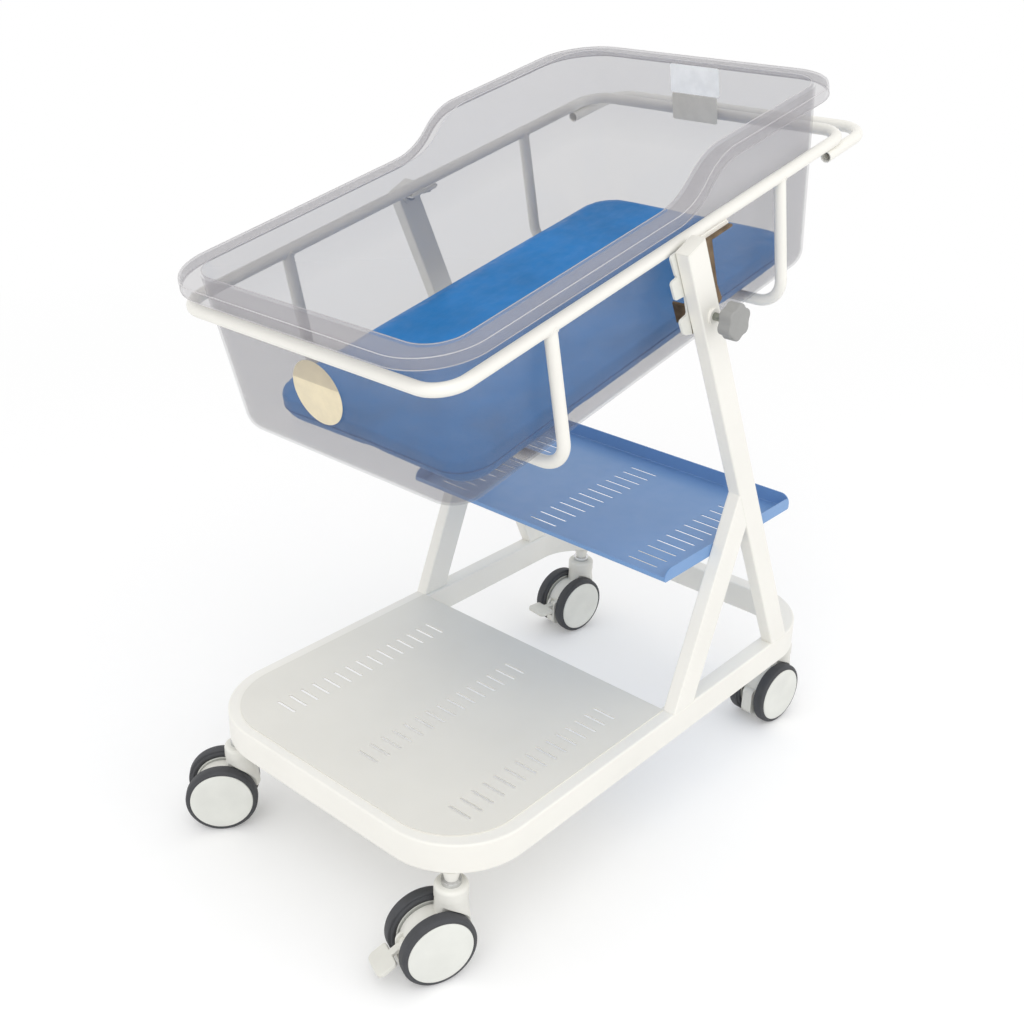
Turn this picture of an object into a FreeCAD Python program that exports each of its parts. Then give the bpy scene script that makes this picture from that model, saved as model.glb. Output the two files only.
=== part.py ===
import FreeCAD, Part
import math
import os

from FreeCAD import Vector

# Hospital bassinet on a caster stand. Millimetres, +Z up, floor at z = 0.
# +X is the head end with the push handle, -Y is the right side with the tilt clamp.
# The basket is drawn level about its own origin and then tilted about its pivot.

# ---------------------------------------------------------------- driving sizes
# Clearances
RUNNING_FIT = 0.05
SEAT_GAP = 0.3
BOLT_FIT = 0.1

# Twin-wheel casters
WHEEL_R = 50.0
WHEEL_INNER_FACE = 14.0
TYRE_WIDTH = 19.5
TYRE_SEAT_R = 39.5
TYRE_SHOULDER = 3.6
TREAD_INNER_DROP = 0.5
TREAD_OUTER_DROP = 0.2
HUB_FACE_R = 43.3
HUB_FACE_CROWN = 1.4
HUB_BOSS_R = 12.0
HUB_DISH = 2.2
HUB_RIM_THICKNESS = 0.8
HUB_COVER = 3.0
AXLE_R = 4.0
AXLE_BOSS_R = 9.0
CASTER_TRAIL = 27.6
CASTER_HEIGHT = 145.5
CUP_R = 22.0
CUP_HEIGHT = 17.5
CUP_OVER_WHEEL = 6.5
CUP_EDGE_R = 5.0
SHOULDER_TOP_R = 20.5
SHOULDER_FOOT_R = 25.0
SHOULDER_HEIGHT = 48.0
WEB_R = 37.0
WEB_HALF = 12.0
WHEEL_ARCH_GAP = 1.3
LOBE_HALF = 9.0
LOBE_REACH = 43.5
LOBE_TOP = 12.0
LOBE_DEPTH = 34.0
COLLAR_R = 13.0
COLLAR_HEIGHT = 11.0
COLLAR_SUNK = 5.0
STEM_R = 6.0
STEM_DEPTH = 40.0
STEM_IN_RAIL = 16.0
SOCKET_TOP_R = 12.2
SOCKET_TIP_R = 8.6
SOCKET_BUSH_R = 9.0
CASTER_CORNER_ANGLE = 40.2
CASTER_YAW = {
    "foot_right": -22.5,
    "foot_left": -41.5,
    "head_right": -6.0,
    "head_left": -7.7,
}

# Brake pedal
PEDAL_PIVOT_REACH = 34.4
PEDAL_PIVOT_RISE = 2.0
PEDAL_PIN_R = 2.5
PEDAL_BOSS_R = 6.0
PEDAL_ARM_HALF = 5.0
PEDAL_START = 20.0
PEDAL_TIP = 48.0
PEDAL_HALF = 20.0
PEDAL_THICKNESS = 5.0
PEDAL_CORNER_R = 8.0
PEDAL_ANGLE = {
    "foot_right": 30.0,
    "head_left": 0.0,
}

# Base frame of rectangular tube
BASE_LENGTH = 840.0
BASE_CORNER_R = 112.0
RAIL_HEIGHT = 43.5
RAIL_WIDTH = 25.0
RAIL_EDGE_R = 3.0
TUBE_WALL = 2.0

# Storage tray on the foot half of the base
TRAY_SHEET = 1.5
TRAY_FOOT_INSET = 14.0
TRAY_SIDE_INSET = 18.4
TRAY_REAR_X = 11.0
TRAY_FLANGE = 18.0
SLOT_WIDTH = 4.5
TRAY_SLOTS = 15
TRAY_SLOT_LENGTH = 37.0
TRAY_SLOT_PITCH = 20.7
TRAY_SLOT_INSET = 63.0
TRAY_ROW_Y = -15.5
TRAY_ROW_SPACING = 165.5

# Side frames
FRAME_DEPTH = 20.0
FRAME_EDGE_R = 2.5
POST_WIDTH = 37.5
POST_LEAN = 25.39
POST_FOOT_X = 271.7
POST_LENGTH = 733.6
LEG_WIDTH = 45.0
LEG_FOOT_X = 12.6
LEG_JOINT_HEIGHT = 297.3
CAP_THICKNESS = 2.0
CAP_PLUG = 3.0
LEFT_POST_DROP = 9.0

# Middle shelf
SHELF_HEIGHT = 211.0
SHELF_SHEET = 1.5
SHELF_FOOT_X = -8.0
SHELF_HEAD_X = 310.0
SHELF_FOOT_LIP = 6.0
SHELF_HEAD_LIP = 21.0
SHELF_SIDE_LIP = 17.0
SHELF_BEND_R = 3.0
SHELF_LIP_END_R = 14.0
SHELF_LIP_HEAD_R = 10.0
SHELF_HEAD_LIP_R = 14.0
SHELF_SLOTS = 12
SHELF_SLOT_LENGTH = 50.0
SHELF_SLOT_PITCH = 22.3
SHELF_SLOT_INSET = 28.5
SHELF_ROW_Y = 0.5
SHELF_ROW_SPACING = 178.0
SCREW_R = 1.75
SCREW_HEAD_R = 3.6
SCREW_HEAD = 2.3
SCREW_TIP = 3.0

# Tub, drawn level in the basket frame whose origin is on the ring tube axis
TUB_FOOT_X = -389.5
TUB_HEAD_X = 362.0
TUB_HALF_WIDTH = 196.0
TUB_WALL = 3.0
TUB_CORNER_R = 48.0
TUB_FLOOR_R = 30.0
TUB_FOOT_DRAFT = 1.154
TUB_HEAD_DRAFT = 1.55
TUB_SIDE_DRAFT = 3.87
RIM_LOW_Z = 43.0
RIM_HIGH_Z = 87.5
RIM_SLOPE_START = -13.0
RIM_SLOPE_LENGTH = 125.0
RIM_OVER_FOOT = 30.0
RIM_OVER_HEAD = 21.0
RIM_OVER_SIDE = 25.0
RIM_CORNER_R = 80.0
RIM_LIP = 15.0
RIM_EDGE_R = 5.0

# Mattress, with its gaps to the tub's inner faces at the floor
MATTRESS_THICKNESS = 42.0
MATTRESS_FOOT_GAP = 35.5
MATTRESS_HEAD_GAP = 9.0
MATTRESS_SIDE_GAP = 17.0
MATTRESS_CORNER_R = 50.0
MATTRESS_LOW_R = 36.0
MATTRESS_TOP_R = 5.0

# Basket frame of round tube
BASKET_TILT = 12.54
ROD_R = 8.0
ROD_WALL = 1.5
RING_GAP_FOOT = 2.6
RING_GAP_HEAD = 29.0
RING_GAP_SIDE = 3.4
RING_CORNER_R = 37.0
HANGER_DROP = 186.0
HANGER_BEND_R = 38.0
FOOT_HANGER_X = -235.0
HEAD_HANGER_X = 233.0
HANDLE_DROP = 16.05
HANDLE_START_X = 350.0
HANDLE_REACH = 61.0
HANDLE_BEND_R = 40.0
VENT_R = 2.0

# Tilt pivot and quadrant clamp
QUADRANT_SPACE = 6.4
PIVOT_BELOW_TOP = 20.0
PIVOT_BELOW_RING = 14.0
PIVOT_R = 5.0
PIVOT_HEAD_R = 8.0
PIVOT_HEAD = 2.0
EAR_R = 12.0
PLATE_THICKNESS = 3.0
STRIP_THICKNESS = 3.0
STRIP_START_X = 11.0
STRIP_END_X = 100.0
LEFT_STRIP_START_X = -14.0
LEFT_STRIP_END_X = 36.0
FLANGE_WIDTH = 19.0
QUADRANT_TOP_X = 55.0
QUADRANT_STEP_X = 62.5
QUADRANT_STEP_Z = -76.0
QUADRANT_HEAD_X = 72.0
QUADRANT_BOTTOM_Z = -100.0
QUADRANT_CORNER_R = 3.0
QUADRANT_MID_Z = -115.0
QUADRANT_FOOT_X = 5.0
QUADRANT_FOOT_Z = -119.0
GUARD_BOUNDARY_X = -9.0
GUARD_TOP_Z = -1.0
GUARD_LOBE_R = 4.0
GUARD_HOLLOW_R = 3.0
GUARD_NICK_R = 1.0
GUARD_TAIL_R = 12.0
UPPER_LOBE_X = -30.5
UPPER_LOBE_END_X = -21.5
UPPER_LOBE_END_Z = -30.5
UPPER_LOBE_R = 6.0
NICK_X = -17.0
NICK_Z = -32.0
MIDDLE_LOBE_X = -32.5
MIDDLE_LOBE_Z = -34.0
MIDDLE_LOBE_END_X = -25.5
MIDDLE_LOBE_END_Z = -60.0
NOTCH_TOP_X = -5.3
NOTCH_TOP_Z = -62.5
NOTCH_FOOT_X = -2.3
NOTCH_FOOT_Z = -88.5
LOWER_LOBE_X = -19.5
LOWER_LOBE_Z = -90.5
LOWER_LOBE_END_X = -13.0
LOWER_LOBE_END_Z = -113.0
BRACKET_SCREW_R = 2.0
BRACKET_SCREW_INSET = 12.0
STUD_RADIUS = 83.0
STUD_R = 5.0
STUD_SLACK = 0.5
TILT_UP = 2.5
TILT_DOWN = 24.5
SLOT_END_ANGLE = 1.5
BOSS_R = 9.5
BOSS_HEIGHT = 4.0
CLAMP_LIP_SIDE = 18.0
CLAMP_FREE_SIDE = 14.0
CLAMP_ABOVE_STUD = 23.0
CLAMP_BELOW_STUD = 8.5
CLAMP_LIP = 15.0
NUT_R = 9.0
NUT_HEIGHT = 7.0
STUD_BEYOND_NUT = 2.0
KNOB_R = 23.5
KNOB_THICKNESS = 19.0
KNOB_LOBES = 6
KNOB_LOBE_R = 9.0
KNOB_VALLEY_R = 20.4
KNOB_EDGE_R = 2.5
KNOB_NECK_R = 11.0
KNOB_NECK = 5.0
KNOB_STANDOFF = 13.0

# ---------------------------------------------------------------- worked-out places
RAIL_BOTTOM_Z = CASTER_HEIGHT
BASE_TOP_Z = RAIL_BOTTOM_Z + RAIL_HEIGHT
TUB_BOTTOM_Z = -HANGER_DROP + ROD_R + SEAT_GAP
RIM_SLOPE_END = RIM_SLOPE_START + RIM_SLOPE_LENGTH
RIM_RISE = RIM_HIGH_Z - RIM_LOW_Z
RIM_SLOPE_R = (RIM_SLOPE_LENGTH**2 + RIM_RISE**2) / (4 * RIM_RISE)


def draft(angle, z):
    """How far a drafted tub wall has moved outwards at height z."""
    return math.tan(math.radians(angle)) * (z - TUB_BOTTOM_Z)


RING_FOOT_X = TUB_FOOT_X - draft(TUB_FOOT_DRAFT, ROD_R) - RING_GAP_FOOT - ROD_R
RING_HEAD_X = TUB_HEAD_X + draft(TUB_HEAD_DRAFT, ROD_R) + RING_GAP_HEAD + ROD_R
RING_Y = TUB_HALF_WIDTH + draft(TUB_SIDE_DRAFT, ROD_R) + RING_GAP_SIDE + ROD_R
HANDLE_END_X = RING_HEAD_X + HANDLE_REACH
FRAME_INNER_Y = RING_Y + ROD_R + QUADRANT_SPACE
FRAME_OUTER_Y = FRAME_INNER_Y + FRAME_DEPTH
PLATE_OUTER_Y = FRAME_INNER_Y - RUNNING_FIT * 10
PLATE_INNER_Y = PLATE_OUTER_Y - PLATE_THICKNESS
CLAMP_OUTER_Y = PLATE_INNER_Y - SEAT_GAP
CLAMP_INNER_Y = CLAMP_OUTER_Y - PLATE_THICKNESS
STRIP_TOP_Z = -ROD_R - RUNNING_FIT
FLANGE_TOP_Z = STRIP_TOP_Z - STRIP_THICKNESS

POST_UP = Vector(-math.sin(math.radians(POST_LEAN)), 0, math.cos(math.radians(POST_LEAN)))
POST_ACROSS = Vector(math.cos(math.radians(POST_LEAN)), 0, math.sin(math.radians(POST_LEAN)))
POST_FOOT = Vector(POST_FOOT_X, 0, BASE_TOP_Z)
POST_TOP = POST_FOOT + POST_UP * POST_LENGTH
PIVOT = POST_TOP + POST_ACROSS * (POST_WIDTH / 2) - POST_UP * PIVOT_BELOW_TOP
STUD = PIVOT - POST_UP * STUD_RADIUS
SHELF_Z = BASE_TOP_Z + SHELF_HEIGHT

CORNER_CENTRE_X = BASE_LENGTH / 2 - BASE_CORNER_R
CORNER_CENTRE_Y = FRAME_OUTER_Y - BASE_CORNER_R
STEM_X = CORNER_CENTRE_X + (BASE_CORNER_R - RAIL_WIDTH / 2) * math.cos(
    math.radians(CASTER_CORNER_ANGLE)
)
STEM_Y = CORNER_CENTRE_Y + (BASE_CORNER_R - RAIL_WIDTH / 2) * math.sin(
    math.radians(CASTER_CORNER_ANGLE)
)
STEM_PLACES = {
    "foot_right": (-STEM_X, -STEM_Y),
    "foot_left": (-STEM_X, STEM_Y),
    "head_right": (STEM_X, -STEM_Y),
    "head_left": (STEM_X, STEM_Y),
}
CUP_BOTTOM_Z = 2 * WHEEL_R + CUP_OVER_WHEEL
CUP_TOP_Z = CUP_BOTTOM_Z + CUP_HEIGHT
COLLAR_BOTTOM_Z = CUP_TOP_Z - COLLAR_SUNK
COLLAR_TOP_Z = COLLAR_BOTTOM_Z + COLLAR_HEIGHT
WHEEL_OUTER_FACE = WHEEL_INNER_FACE + TYRE_WIDTH
PEDAL_PIVOT_X = CASTER_TRAIL + PEDAL_PIVOT_REACH
PEDAL_PIVOT_Z = WHEEL_R + PEDAL_PIVOT_RISE

X_AXIS = Vector(1, 0, 0)
Y_AXIS = Vector(0, 1, 0)
Z_AXIS = Vector(0, 0, 1)


# ---------------------------------------------------------------- drawing helpers
def rounded_wire(points, radii):
    """Closed flat wire through points, each corner rounded by its own radius."""
    edges = []
    starts = []
    ends = []
    count = len(points)
    for i in range(count):
        corner = points[i]
        radius = radii[i]
        before = (points[i - 1] - corner).normalize()
        after = (points[(i + 1) % count] - corner).normalize()
        if radius == 0:
            starts.append(corner)
            ends.append(corner)
            continue
        half_angle = before.getAngle(after) / 2
        reach = radius / math.tan(half_angle)
        middle = (before + after).normalize()
        centre = corner + middle * (radius / math.sin(half_angle))
        starts.append(corner + before * reach)
        ends.append(corner + after * reach)
        edges.append(Part.Arc(starts[i], centre - middle * radius, ends[i]).toShape())
    for i in range(count):
        following = starts[(i + 1) % count]
        if ends[i].distanceToPoint(following) > 1e-6:
            edges.append(Part.makeLine(ends[i], following))
    return Part.Wire(Part.__sortEdges__(edges))


def rectangle_wire(x0, x1, half_width, z, foot_radius, head_radius):
    """Level rectangle with one corner radius at the foot end and one at the head end."""
    points = [
        Vector(x0, -half_width, z),
        Vector(x1, -half_width, z),
        Vector(x1, half_width, z),
        Vector(x0, half_width, z),
    ]
    return rounded_wire(points, [foot_radius, head_radius, head_radius, foot_radius])


def prism(wire, direction):
    """Solid swept straight from a closed flat wire."""
    return Part.Face(wire).extrude(direction)


def side_plate(points, radii, y0, y1):
    """Plate cut to an outline of (x, z) points, standing between y0 and y1."""
    wire = rounded_wire([Vector(x, y0, z) for x, z in points], radii)
    return prism(wire, Vector(0, y1 - y0, 0))


def block(x0, x1, y0, y1, z0, z1):
    """Rectangular block between two corners."""
    return Part.makeBox(x1 - x0, y1 - y0, z1 - z0, Vector(x0, y0, z0))


def rod_along_y(radius, x, z, y0, y1):
    """Round bar along Y from y0 to y1."""
    low = min(y0, y1)
    return Part.makeCylinder(radius, abs(y1 - y0), Vector(x, low, z), Y_AXIS)


def revolved(profile, axis):
    """Solid of revolution about an axis through the origin."""
    return Part.Face(Part.makePolygon(profile + profile[:1])).revolve(Vector(), axis, 360)


def joined(shapes):
    """One solid fused from several, with its seams cleaned."""
    whole = shapes[0].multiFuse(shapes[1:])
    return whole.removeSplitter()


def bent_rod(points, bend_radius, radius, closed=False):
    """Round bar along straight runs joined by tangent bends of one radius."""
    count = len(points)
    corners = range(count) if closed else range(1, count - 1)
    leave = [point for point in points]
    arrive = [point for point in points]
    pieces = []
    for i in corners:
        corner = points[i]
        before = (points[i - 1] - corner).normalize()
        after = (points[(i + 1) % count] - corner).normalize()
        half_angle = before.getAngle(after) / 2
        reach = bend_radius / math.tan(half_angle)
        centre = corner + (before + after).normalize() * (bend_radius / math.sin(half_angle))
        arrive[i] = corner + before * reach
        leave[i] = corner + after * reach
        section = Part.Face(Part.Wire(Part.makeCircle(radius, arrive[i], before)))
        turn = 180 - math.degrees(2 * half_angle)
        pieces.append(section.revolve(centre, after.cross(before), turn))
    runs = range(count) if closed else range(count - 1)
    for i in runs:
        run = arrive[(i + 1) % count] - leave[i]
        pieces.append(Part.makeCylinder(radius, run.Length, leave[i], run))
    return joined(pieces)


def bent_tube(points, bend_radius, closed=False):
    """Round tube along straight runs and bends, open at both ends."""
    outside = bent_rod(points, bend_radius, ROD_R, closed)
    return outside.cut(bent_rod(points, bend_radius, ROD_R - ROD_WALL, closed))


def slot_row(first_x, pitch, count, length, middle_y, z, depth):
    """One row of slots lying across the sheet, as solids to cut with."""
    half_run = (length - SLOT_WIDTH) / 2
    half_slot = SLOT_WIDTH / 2
    slots = []
    for i in range(count):
        middle = Vector(first_x + i * pitch, middle_y, z)
        side = Vector(half_slot, 0, 0)
        run = Vector(0, half_run, 0)
        tip = Vector(0, half_run + half_slot, 0)
        edges = [
            Part.makeLine(middle - side - run, middle - side + run),
            Part.Arc(middle - side + run, middle + tip, middle + side + run).toShape(),
            Part.makeLine(middle + side + run, middle + side - run),
            Part.Arc(middle + side - run, middle - tip, middle - side - run).toShape(),
        ]
        slots.append(prism(Part.Wire(edges), Vector(0, 0, depth)))
    return slots


def mirrored_left(shape):
    """The left-hand copy of a right-hand piece."""
    return shape.mirror(Vector(), Y_AXIS)


def tilted(shape):
    """Basket piece turned from level to its rest tilt about the pivot."""
    placed = shape.copy()
    placed.translate(Vector(PIVOT.x, 0, PIVOT.z + PIVOT_BELOW_RING))
    placed.rotate(PIVOT, Y_AXIS, -BASKET_TILT)
    return placed


def on_caster(shape, name):
    """Caster piece turned to its trail direction and moved under its stem."""
    placed = shape.copy()
    placed.rotate(Vector(), Z_AXIS, 180 + CASTER_YAW[name])
    placed.translate(Vector(*STEM_PLACES[name], 0))
    return placed


# ---------------------------------------------------------------- base and tray
def base_frame():
    """Closed ring of rectangular tube with four stem holes in its underside."""
    ring = ring_prism(0, RAIL_BOTTOM_Z, BASE_TOP_Z)
    level = [RAIL_BOTTOM_Z, BASE_TOP_Z]
    long_edges = [
        edge
        for edge in ring.Edges
        if any(abs(edge.BoundBox.ZMin - z) + abs(edge.BoundBox.ZMax - z) < 0.01 for z in level)
    ]
    ring = ring.makeFillet(RAIL_EDGE_R, long_edges)
    bore = ring_prism(TUBE_WALL, RAIL_BOTTOM_Z + TUBE_WALL, BASE_TOP_Z - TUBE_WALL)
    ring = ring.cut(bore)
    for x, y in STEM_PLACES.values():
        hole_base = Vector(x, y, RAIL_BOTTOM_Z - TUBE_WALL)
        ring = ring.cut(Part.makeCylinder(SOCKET_BUSH_R + BOLT_FIT, 3 * TUBE_WALL, hole_base))
    return ring


def ring_prism(inset, z0, z1):
    """The base ring's cross-section, inset on every side, between two heights."""
    outer = inset
    inner = RAIL_WIDTH - inset
    walls = []
    for step in (outer, inner):
        half_length = BASE_LENGTH / 2 - step
        radius = BASE_CORNER_R - step
        wire = rectangle_wire(
            -half_length, half_length, FRAME_OUTER_Y - step, z0, radius, radius
        )
        walls.append(prism(wire, Vector(0, 0, z1 - z0)))
    return walls[0].cut(walls[1])


def storage_tray():
    """Slotted sheet resting on the rails, with a stiffening flange at its open edge."""
    foot_x = -BASE_LENGTH / 2 + TRAY_FOOT_INSET
    half_width = FRAME_OUTER_Y - TRAY_SIDE_INSET
    corner = BASE_CORNER_R - TRAY_FOOT_INSET
    wire = rectangle_wire(foot_x, TRAY_REAR_X, half_width, BASE_TOP_Z, corner, 0)
    sheet = prism(wire, Vector(0, 0, TRAY_SHEET))
    flange_half = FRAME_OUTER_Y - RAIL_WIDTH - SEAT_GAP
    flange = block(
        TRAY_REAR_X - TRAY_SHEET,
        TRAY_REAR_X,
        -flange_half,
        flange_half,
        BASE_TOP_Z - TRAY_FLANGE,
        BASE_TOP_Z,
    )
    slots = []
    for row in (-1, 0, 1):
        slots += slot_row(
            foot_x + TRAY_SLOT_INSET,
            TRAY_SLOT_PITCH,
            TRAY_SLOTS,
            TRAY_SLOT_LENGTH,
            TRAY_ROW_Y + row * TRAY_ROW_SPACING,
            BASE_TOP_Z - TRAY_SHEET,
            3 * TRAY_SHEET,
        )
    return joined([sheet, flange]).cut(Part.makeCompound(slots))


# ---------------------------------------------------------------- side frames
def post_edge_x(z):
    """Where the post's foot-side edge is at height z."""
    return POST_FOOT_X - (z - BASE_TOP_Z) * math.tan(math.radians(POST_LEAN))


def leg_edge_x(z):
    """Where the leg's foot-side edge is at height z."""
    joint_x = post_edge_x(BASE_TOP_Z + LEG_JOINT_HEIGHT)
    return LEG_FOOT_X + (z - BASE_TOP_Z) * (joint_x - LEG_FOOT_X) / LEG_JOINT_HEIGHT


def frame_member(outline, inner_outline, edge_direction):
    """Rectangular tube of the side frame with rounded long edges, on the right side."""
    solid = side_plate(outline, [0] * len(outline), -FRAME_OUTER_Y, -FRAME_INNER_Y)
    long_edges = [
        edge
        for edge in solid.Edges
        if edge.tangentAt(edge.FirstParameter).cross(edge_direction).Length < 0.001
    ]
    solid = solid.makeFillet(FRAME_EDGE_R, long_edges)
    bore = side_plate(
        inner_outline,
        [0] * len(inner_outline),
        -FRAME_OUTER_Y + TUBE_WALL,
        -FRAME_INNER_Y - TUBE_WALL,
    )
    return solid.cut(bore)


def plain_post(drop=0.0):
    """Leaning post on the right side, cut shorter by a drop, with its pivot pin hole."""
    slope = 1 / math.cos(math.radians(POST_LEAN))
    top = POST_TOP - POST_UP * (CAP_THICKNESS + drop)
    top_rear = top + POST_ACROSS * POST_WIDTH
    outline = [
        (POST_FOOT_X, BASE_TOP_Z),
        (POST_FOOT_X + POST_WIDTH * slope, BASE_TOP_Z),
        (top_rear.x, top_rear.z),
        (top.x, top.z),
    ]
    bore_top = top + POST_ACROSS * TUBE_WALL + POST_UP * CAP_THICKNESS
    bore_rear = top_rear - POST_ACROSS * TUBE_WALL + POST_UP * CAP_THICKNESS
    below = BASE_TOP_Z - TUBE_WALL
    bore = [
        (post_edge_x(below) + TUBE_WALL * slope, below),
        (post_edge_x(below) + (POST_WIDTH - TUBE_WALL) * slope, below),
        (bore_rear.x, bore_rear.z),
        (bore_top.x, bore_top.z),
    ]
    post = frame_member(outline, bore, POST_UP)
    inner_wall = -FRAME_INNER_Y - 2 * TUBE_WALL
    post = post.cut(rod_along_y(PIVOT_R + BOLT_FIT, PIVOT.x, PIVOT.z, inner_wall, 0))
    post = post.cut(rod_along_y(SCREW_R + BOLT_FIT, *post_screw_place(), inner_wall, 0))
    return post


def right_post():
    """Right post with the clamp stud's hole through both walls."""
    hole = rod_along_y(STUD_R + STUD_SLACK, STUD.x, STUD.z, -FRAME_OUTER_Y - 1, 0)
    return plain_post().cut(hole)


def left_post():
    """Left post, a little shorter than the right one."""
    return mirrored_left(plain_post(LEFT_POST_DROP))


def right_leg():
    """Front leg, cut flat on the rail and along the post it is welded to."""
    joint_z = BASE_TOP_Z + LEG_JOINT_HEIGHT
    joint_x = post_edge_x(joint_z)
    lean = (joint_x - LEG_FOOT_X) / LEG_JOINT_HEIGHT
    width = LEG_WIDTH * math.hypot(1, lean)
    wall = TUBE_WALL * math.hypot(1, lean)
    post_lean = math.tan(math.radians(POST_LEAN))

    def joint(offset):
        rise = (POST_FOOT_X - LEG_FOOT_X - offset) / (lean + post_lean)
        return LEG_FOOT_X + offset + lean * rise, BASE_TOP_Z + rise

    outline = [
        (LEG_FOOT_X, BASE_TOP_Z),
        (LEG_FOOT_X + width, BASE_TOP_Z),
        joint(width),
        joint(0),
    ]
    bore = [
        (LEG_FOOT_X + wall, BASE_TOP_Z),
        (LEG_FOOT_X + width - wall, BASE_TOP_Z),
        joint(width - wall),
        joint(wall),
    ]
    leg = frame_member(outline, bore, Vector(lean, 0, 1).normalize())
    inner_wall = -FRAME_INNER_Y - 2 * TUBE_WALL
    return leg.cut(rod_along_y(SCREW_R + BOLT_FIT, *leg_screw_place(), inner_wall, 0))


def post_cap(drop=0.0):
    """Plastic cap that closes the top of a post on the right side."""
    base = POST_TOP - POST_UP * (CAP_THICKNESS + drop)
    cap = oblique_block(base, 0, POST_WIDTH, 0, CAP_THICKNESS, -FRAME_OUTER_Y, -FRAME_INNER_Y)
    long_edges = [
        edge
        for edge in cap.Edges
        if edge.tangentAt(edge.FirstParameter).cross(POST_UP).Length < 0.001
    ]
    cap = cap.makeFillet(FRAME_EDGE_R, long_edges)
    inset = TUBE_WALL + BOLT_FIT
    plug = oblique_block(
        base,
        inset,
        POST_WIDTH - inset,
        -CAP_PLUG,
        0,
        -FRAME_OUTER_Y + inset,
        -FRAME_INNER_Y - inset,
    )
    return joined([cap, plug])


def oblique_block(base, across0, across1, up0, up1, y0, y1):
    """Block aligned with the leaning post, measured from a base point on its edge."""
    corners = [(across0, up0), (across1, up0), (across1, up1), (across0, up1)]
    spots = [base + POST_ACROSS * across + POST_UP * up for across, up in corners]
    return side_plate([(spot.x, spot.z) for spot in spots], [0] * 4, y0, y1)


# ---------------------------------------------------------------- middle shelf
def screw_z():
    """Height of the screws through the shelf's side lips."""
    return SHELF_Z + SHELF_SIDE_LIP / 2 + 1


def leg_screw_place():
    """Where the shelf screw goes into the leg."""
    joint_x = post_edge_x(BASE_TOP_Z + LEG_JOINT_HEIGHT)
    lean = (joint_x - LEG_FOOT_X) / LEG_JOINT_HEIGHT
    return leg_edge_x(screw_z()) + LEG_WIDTH * math.hypot(1, lean) / 2, screw_z()


def post_screw_place():
    """Where the shelf screw goes into the post."""
    half = POST_WIDTH / math.cos(math.radians(POST_LEAN)) / 2
    return post_edge_x(screw_z()) + half, screw_z()


def mid_shelf():
    """Folded sheet shelf with raised lips, three rows of slots and four screw holes."""
    bottom = SHELF_Z - SHELF_SHEET
    head_lip = SHELF_HEAD_LIP + SHELF_SHEET
    foot_lip = SHELF_FOOT_LIP + SHELF_SHEET
    outer = [
        (SHELF_FOOT_X, bottom + foot_lip),
        (SHELF_FOOT_X, bottom),
        (SHELF_HEAD_X, bottom),
        (SHELF_HEAD_X, bottom + head_lip),
        (SHELF_HEAD_X - SHELF_SHEET, bottom + head_lip),
        (SHELF_HEAD_X - SHELF_SHEET, SHELF_Z),
        (SHELF_FOOT_X + SHELF_SHEET, SHELF_Z),
        (SHELF_FOOT_X + SHELF_SHEET, bottom + foot_lip),
    ]
    inner_bend = SHELF_BEND_R - SHELF_SHEET
    radii = [0, SHELF_BEND_R, SHELF_BEND_R, 0, 0, inner_bend, inner_bend, 0]
    pan = side_plate(outer, radii, -FRAME_INNER_Y, FRAME_INNER_Y)
    corner = head_lip_corner(bottom + head_lip)
    pan = pan.cut(corner).cut(mirrored_left(corner))
    lip_top = SHELF_Z + SHELF_SIDE_LIP
    lip = side_plate(
        [
            (SHELF_FOOT_X, bottom + SHELF_BEND_R),
            (SHELF_FOOT_X + SHELF_BEND_R, bottom),
            (SHELF_HEAD_X - SHELF_BEND_R, bottom),
            (SHELF_HEAD_X, bottom + SHELF_BEND_R),
            (SHELF_HEAD_X, lip_top),
            (SHELF_FOOT_X, lip_top),
        ],
        [0, 0, 0, 0, SHELF_LIP_HEAD_R, SHELF_LIP_END_R],
        -FRAME_INNER_Y,
        -FRAME_INNER_Y + SHELF_SHEET,
    )
    shelf = joined([pan, lip, mirrored_left(lip)])
    holes = []
    for x, z in (leg_screw_place(), post_screw_place()):
        holes.append(
            rod_along_y(SCREW_R + BOLT_FIT, x, z, -FRAME_INNER_Y - 1, FRAME_INNER_Y + 1)
        )
    slots = []
    for row in (-1, 0, 1):
        slots += slot_row(
            SHELF_FOOT_X + SHELF_SLOT_INSET,
            SHELF_SLOT_PITCH,
            SHELF_SLOTS,
            SHELF_SLOT_LENGTH,
            SHELF_ROW_Y + row * SHELF_ROW_SPACING,
            bottom - SHELF_SHEET,
            3 * SHELF_SHEET,
        )
    return shelf.cut(Part.makeCompound(holes)).cut(Part.makeCompound(slots))


def head_lip_corner(top_z):
    """What is taken off to round one upper corner of the shelf's head lip."""
    radius = SHELF_HEAD_LIP_R
    x0 = SHELF_HEAD_X - SHELF_BEND_R
    x1 = SHELF_HEAD_X + SHELF_BEND_R
    y0 = -FRAME_INNER_Y - SHELF_SHEET
    middle_y = -FRAME_INNER_Y + radius
    square = block(x0, x1, y0, middle_y, top_z - radius, top_z + SHELF_SHEET)
    round_corner = Part.makeCylinder(radius, x1 - x0, Vector(x0, middle_y, top_z - radius), X_AXIS)
    return square.cut(round_corner)


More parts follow.
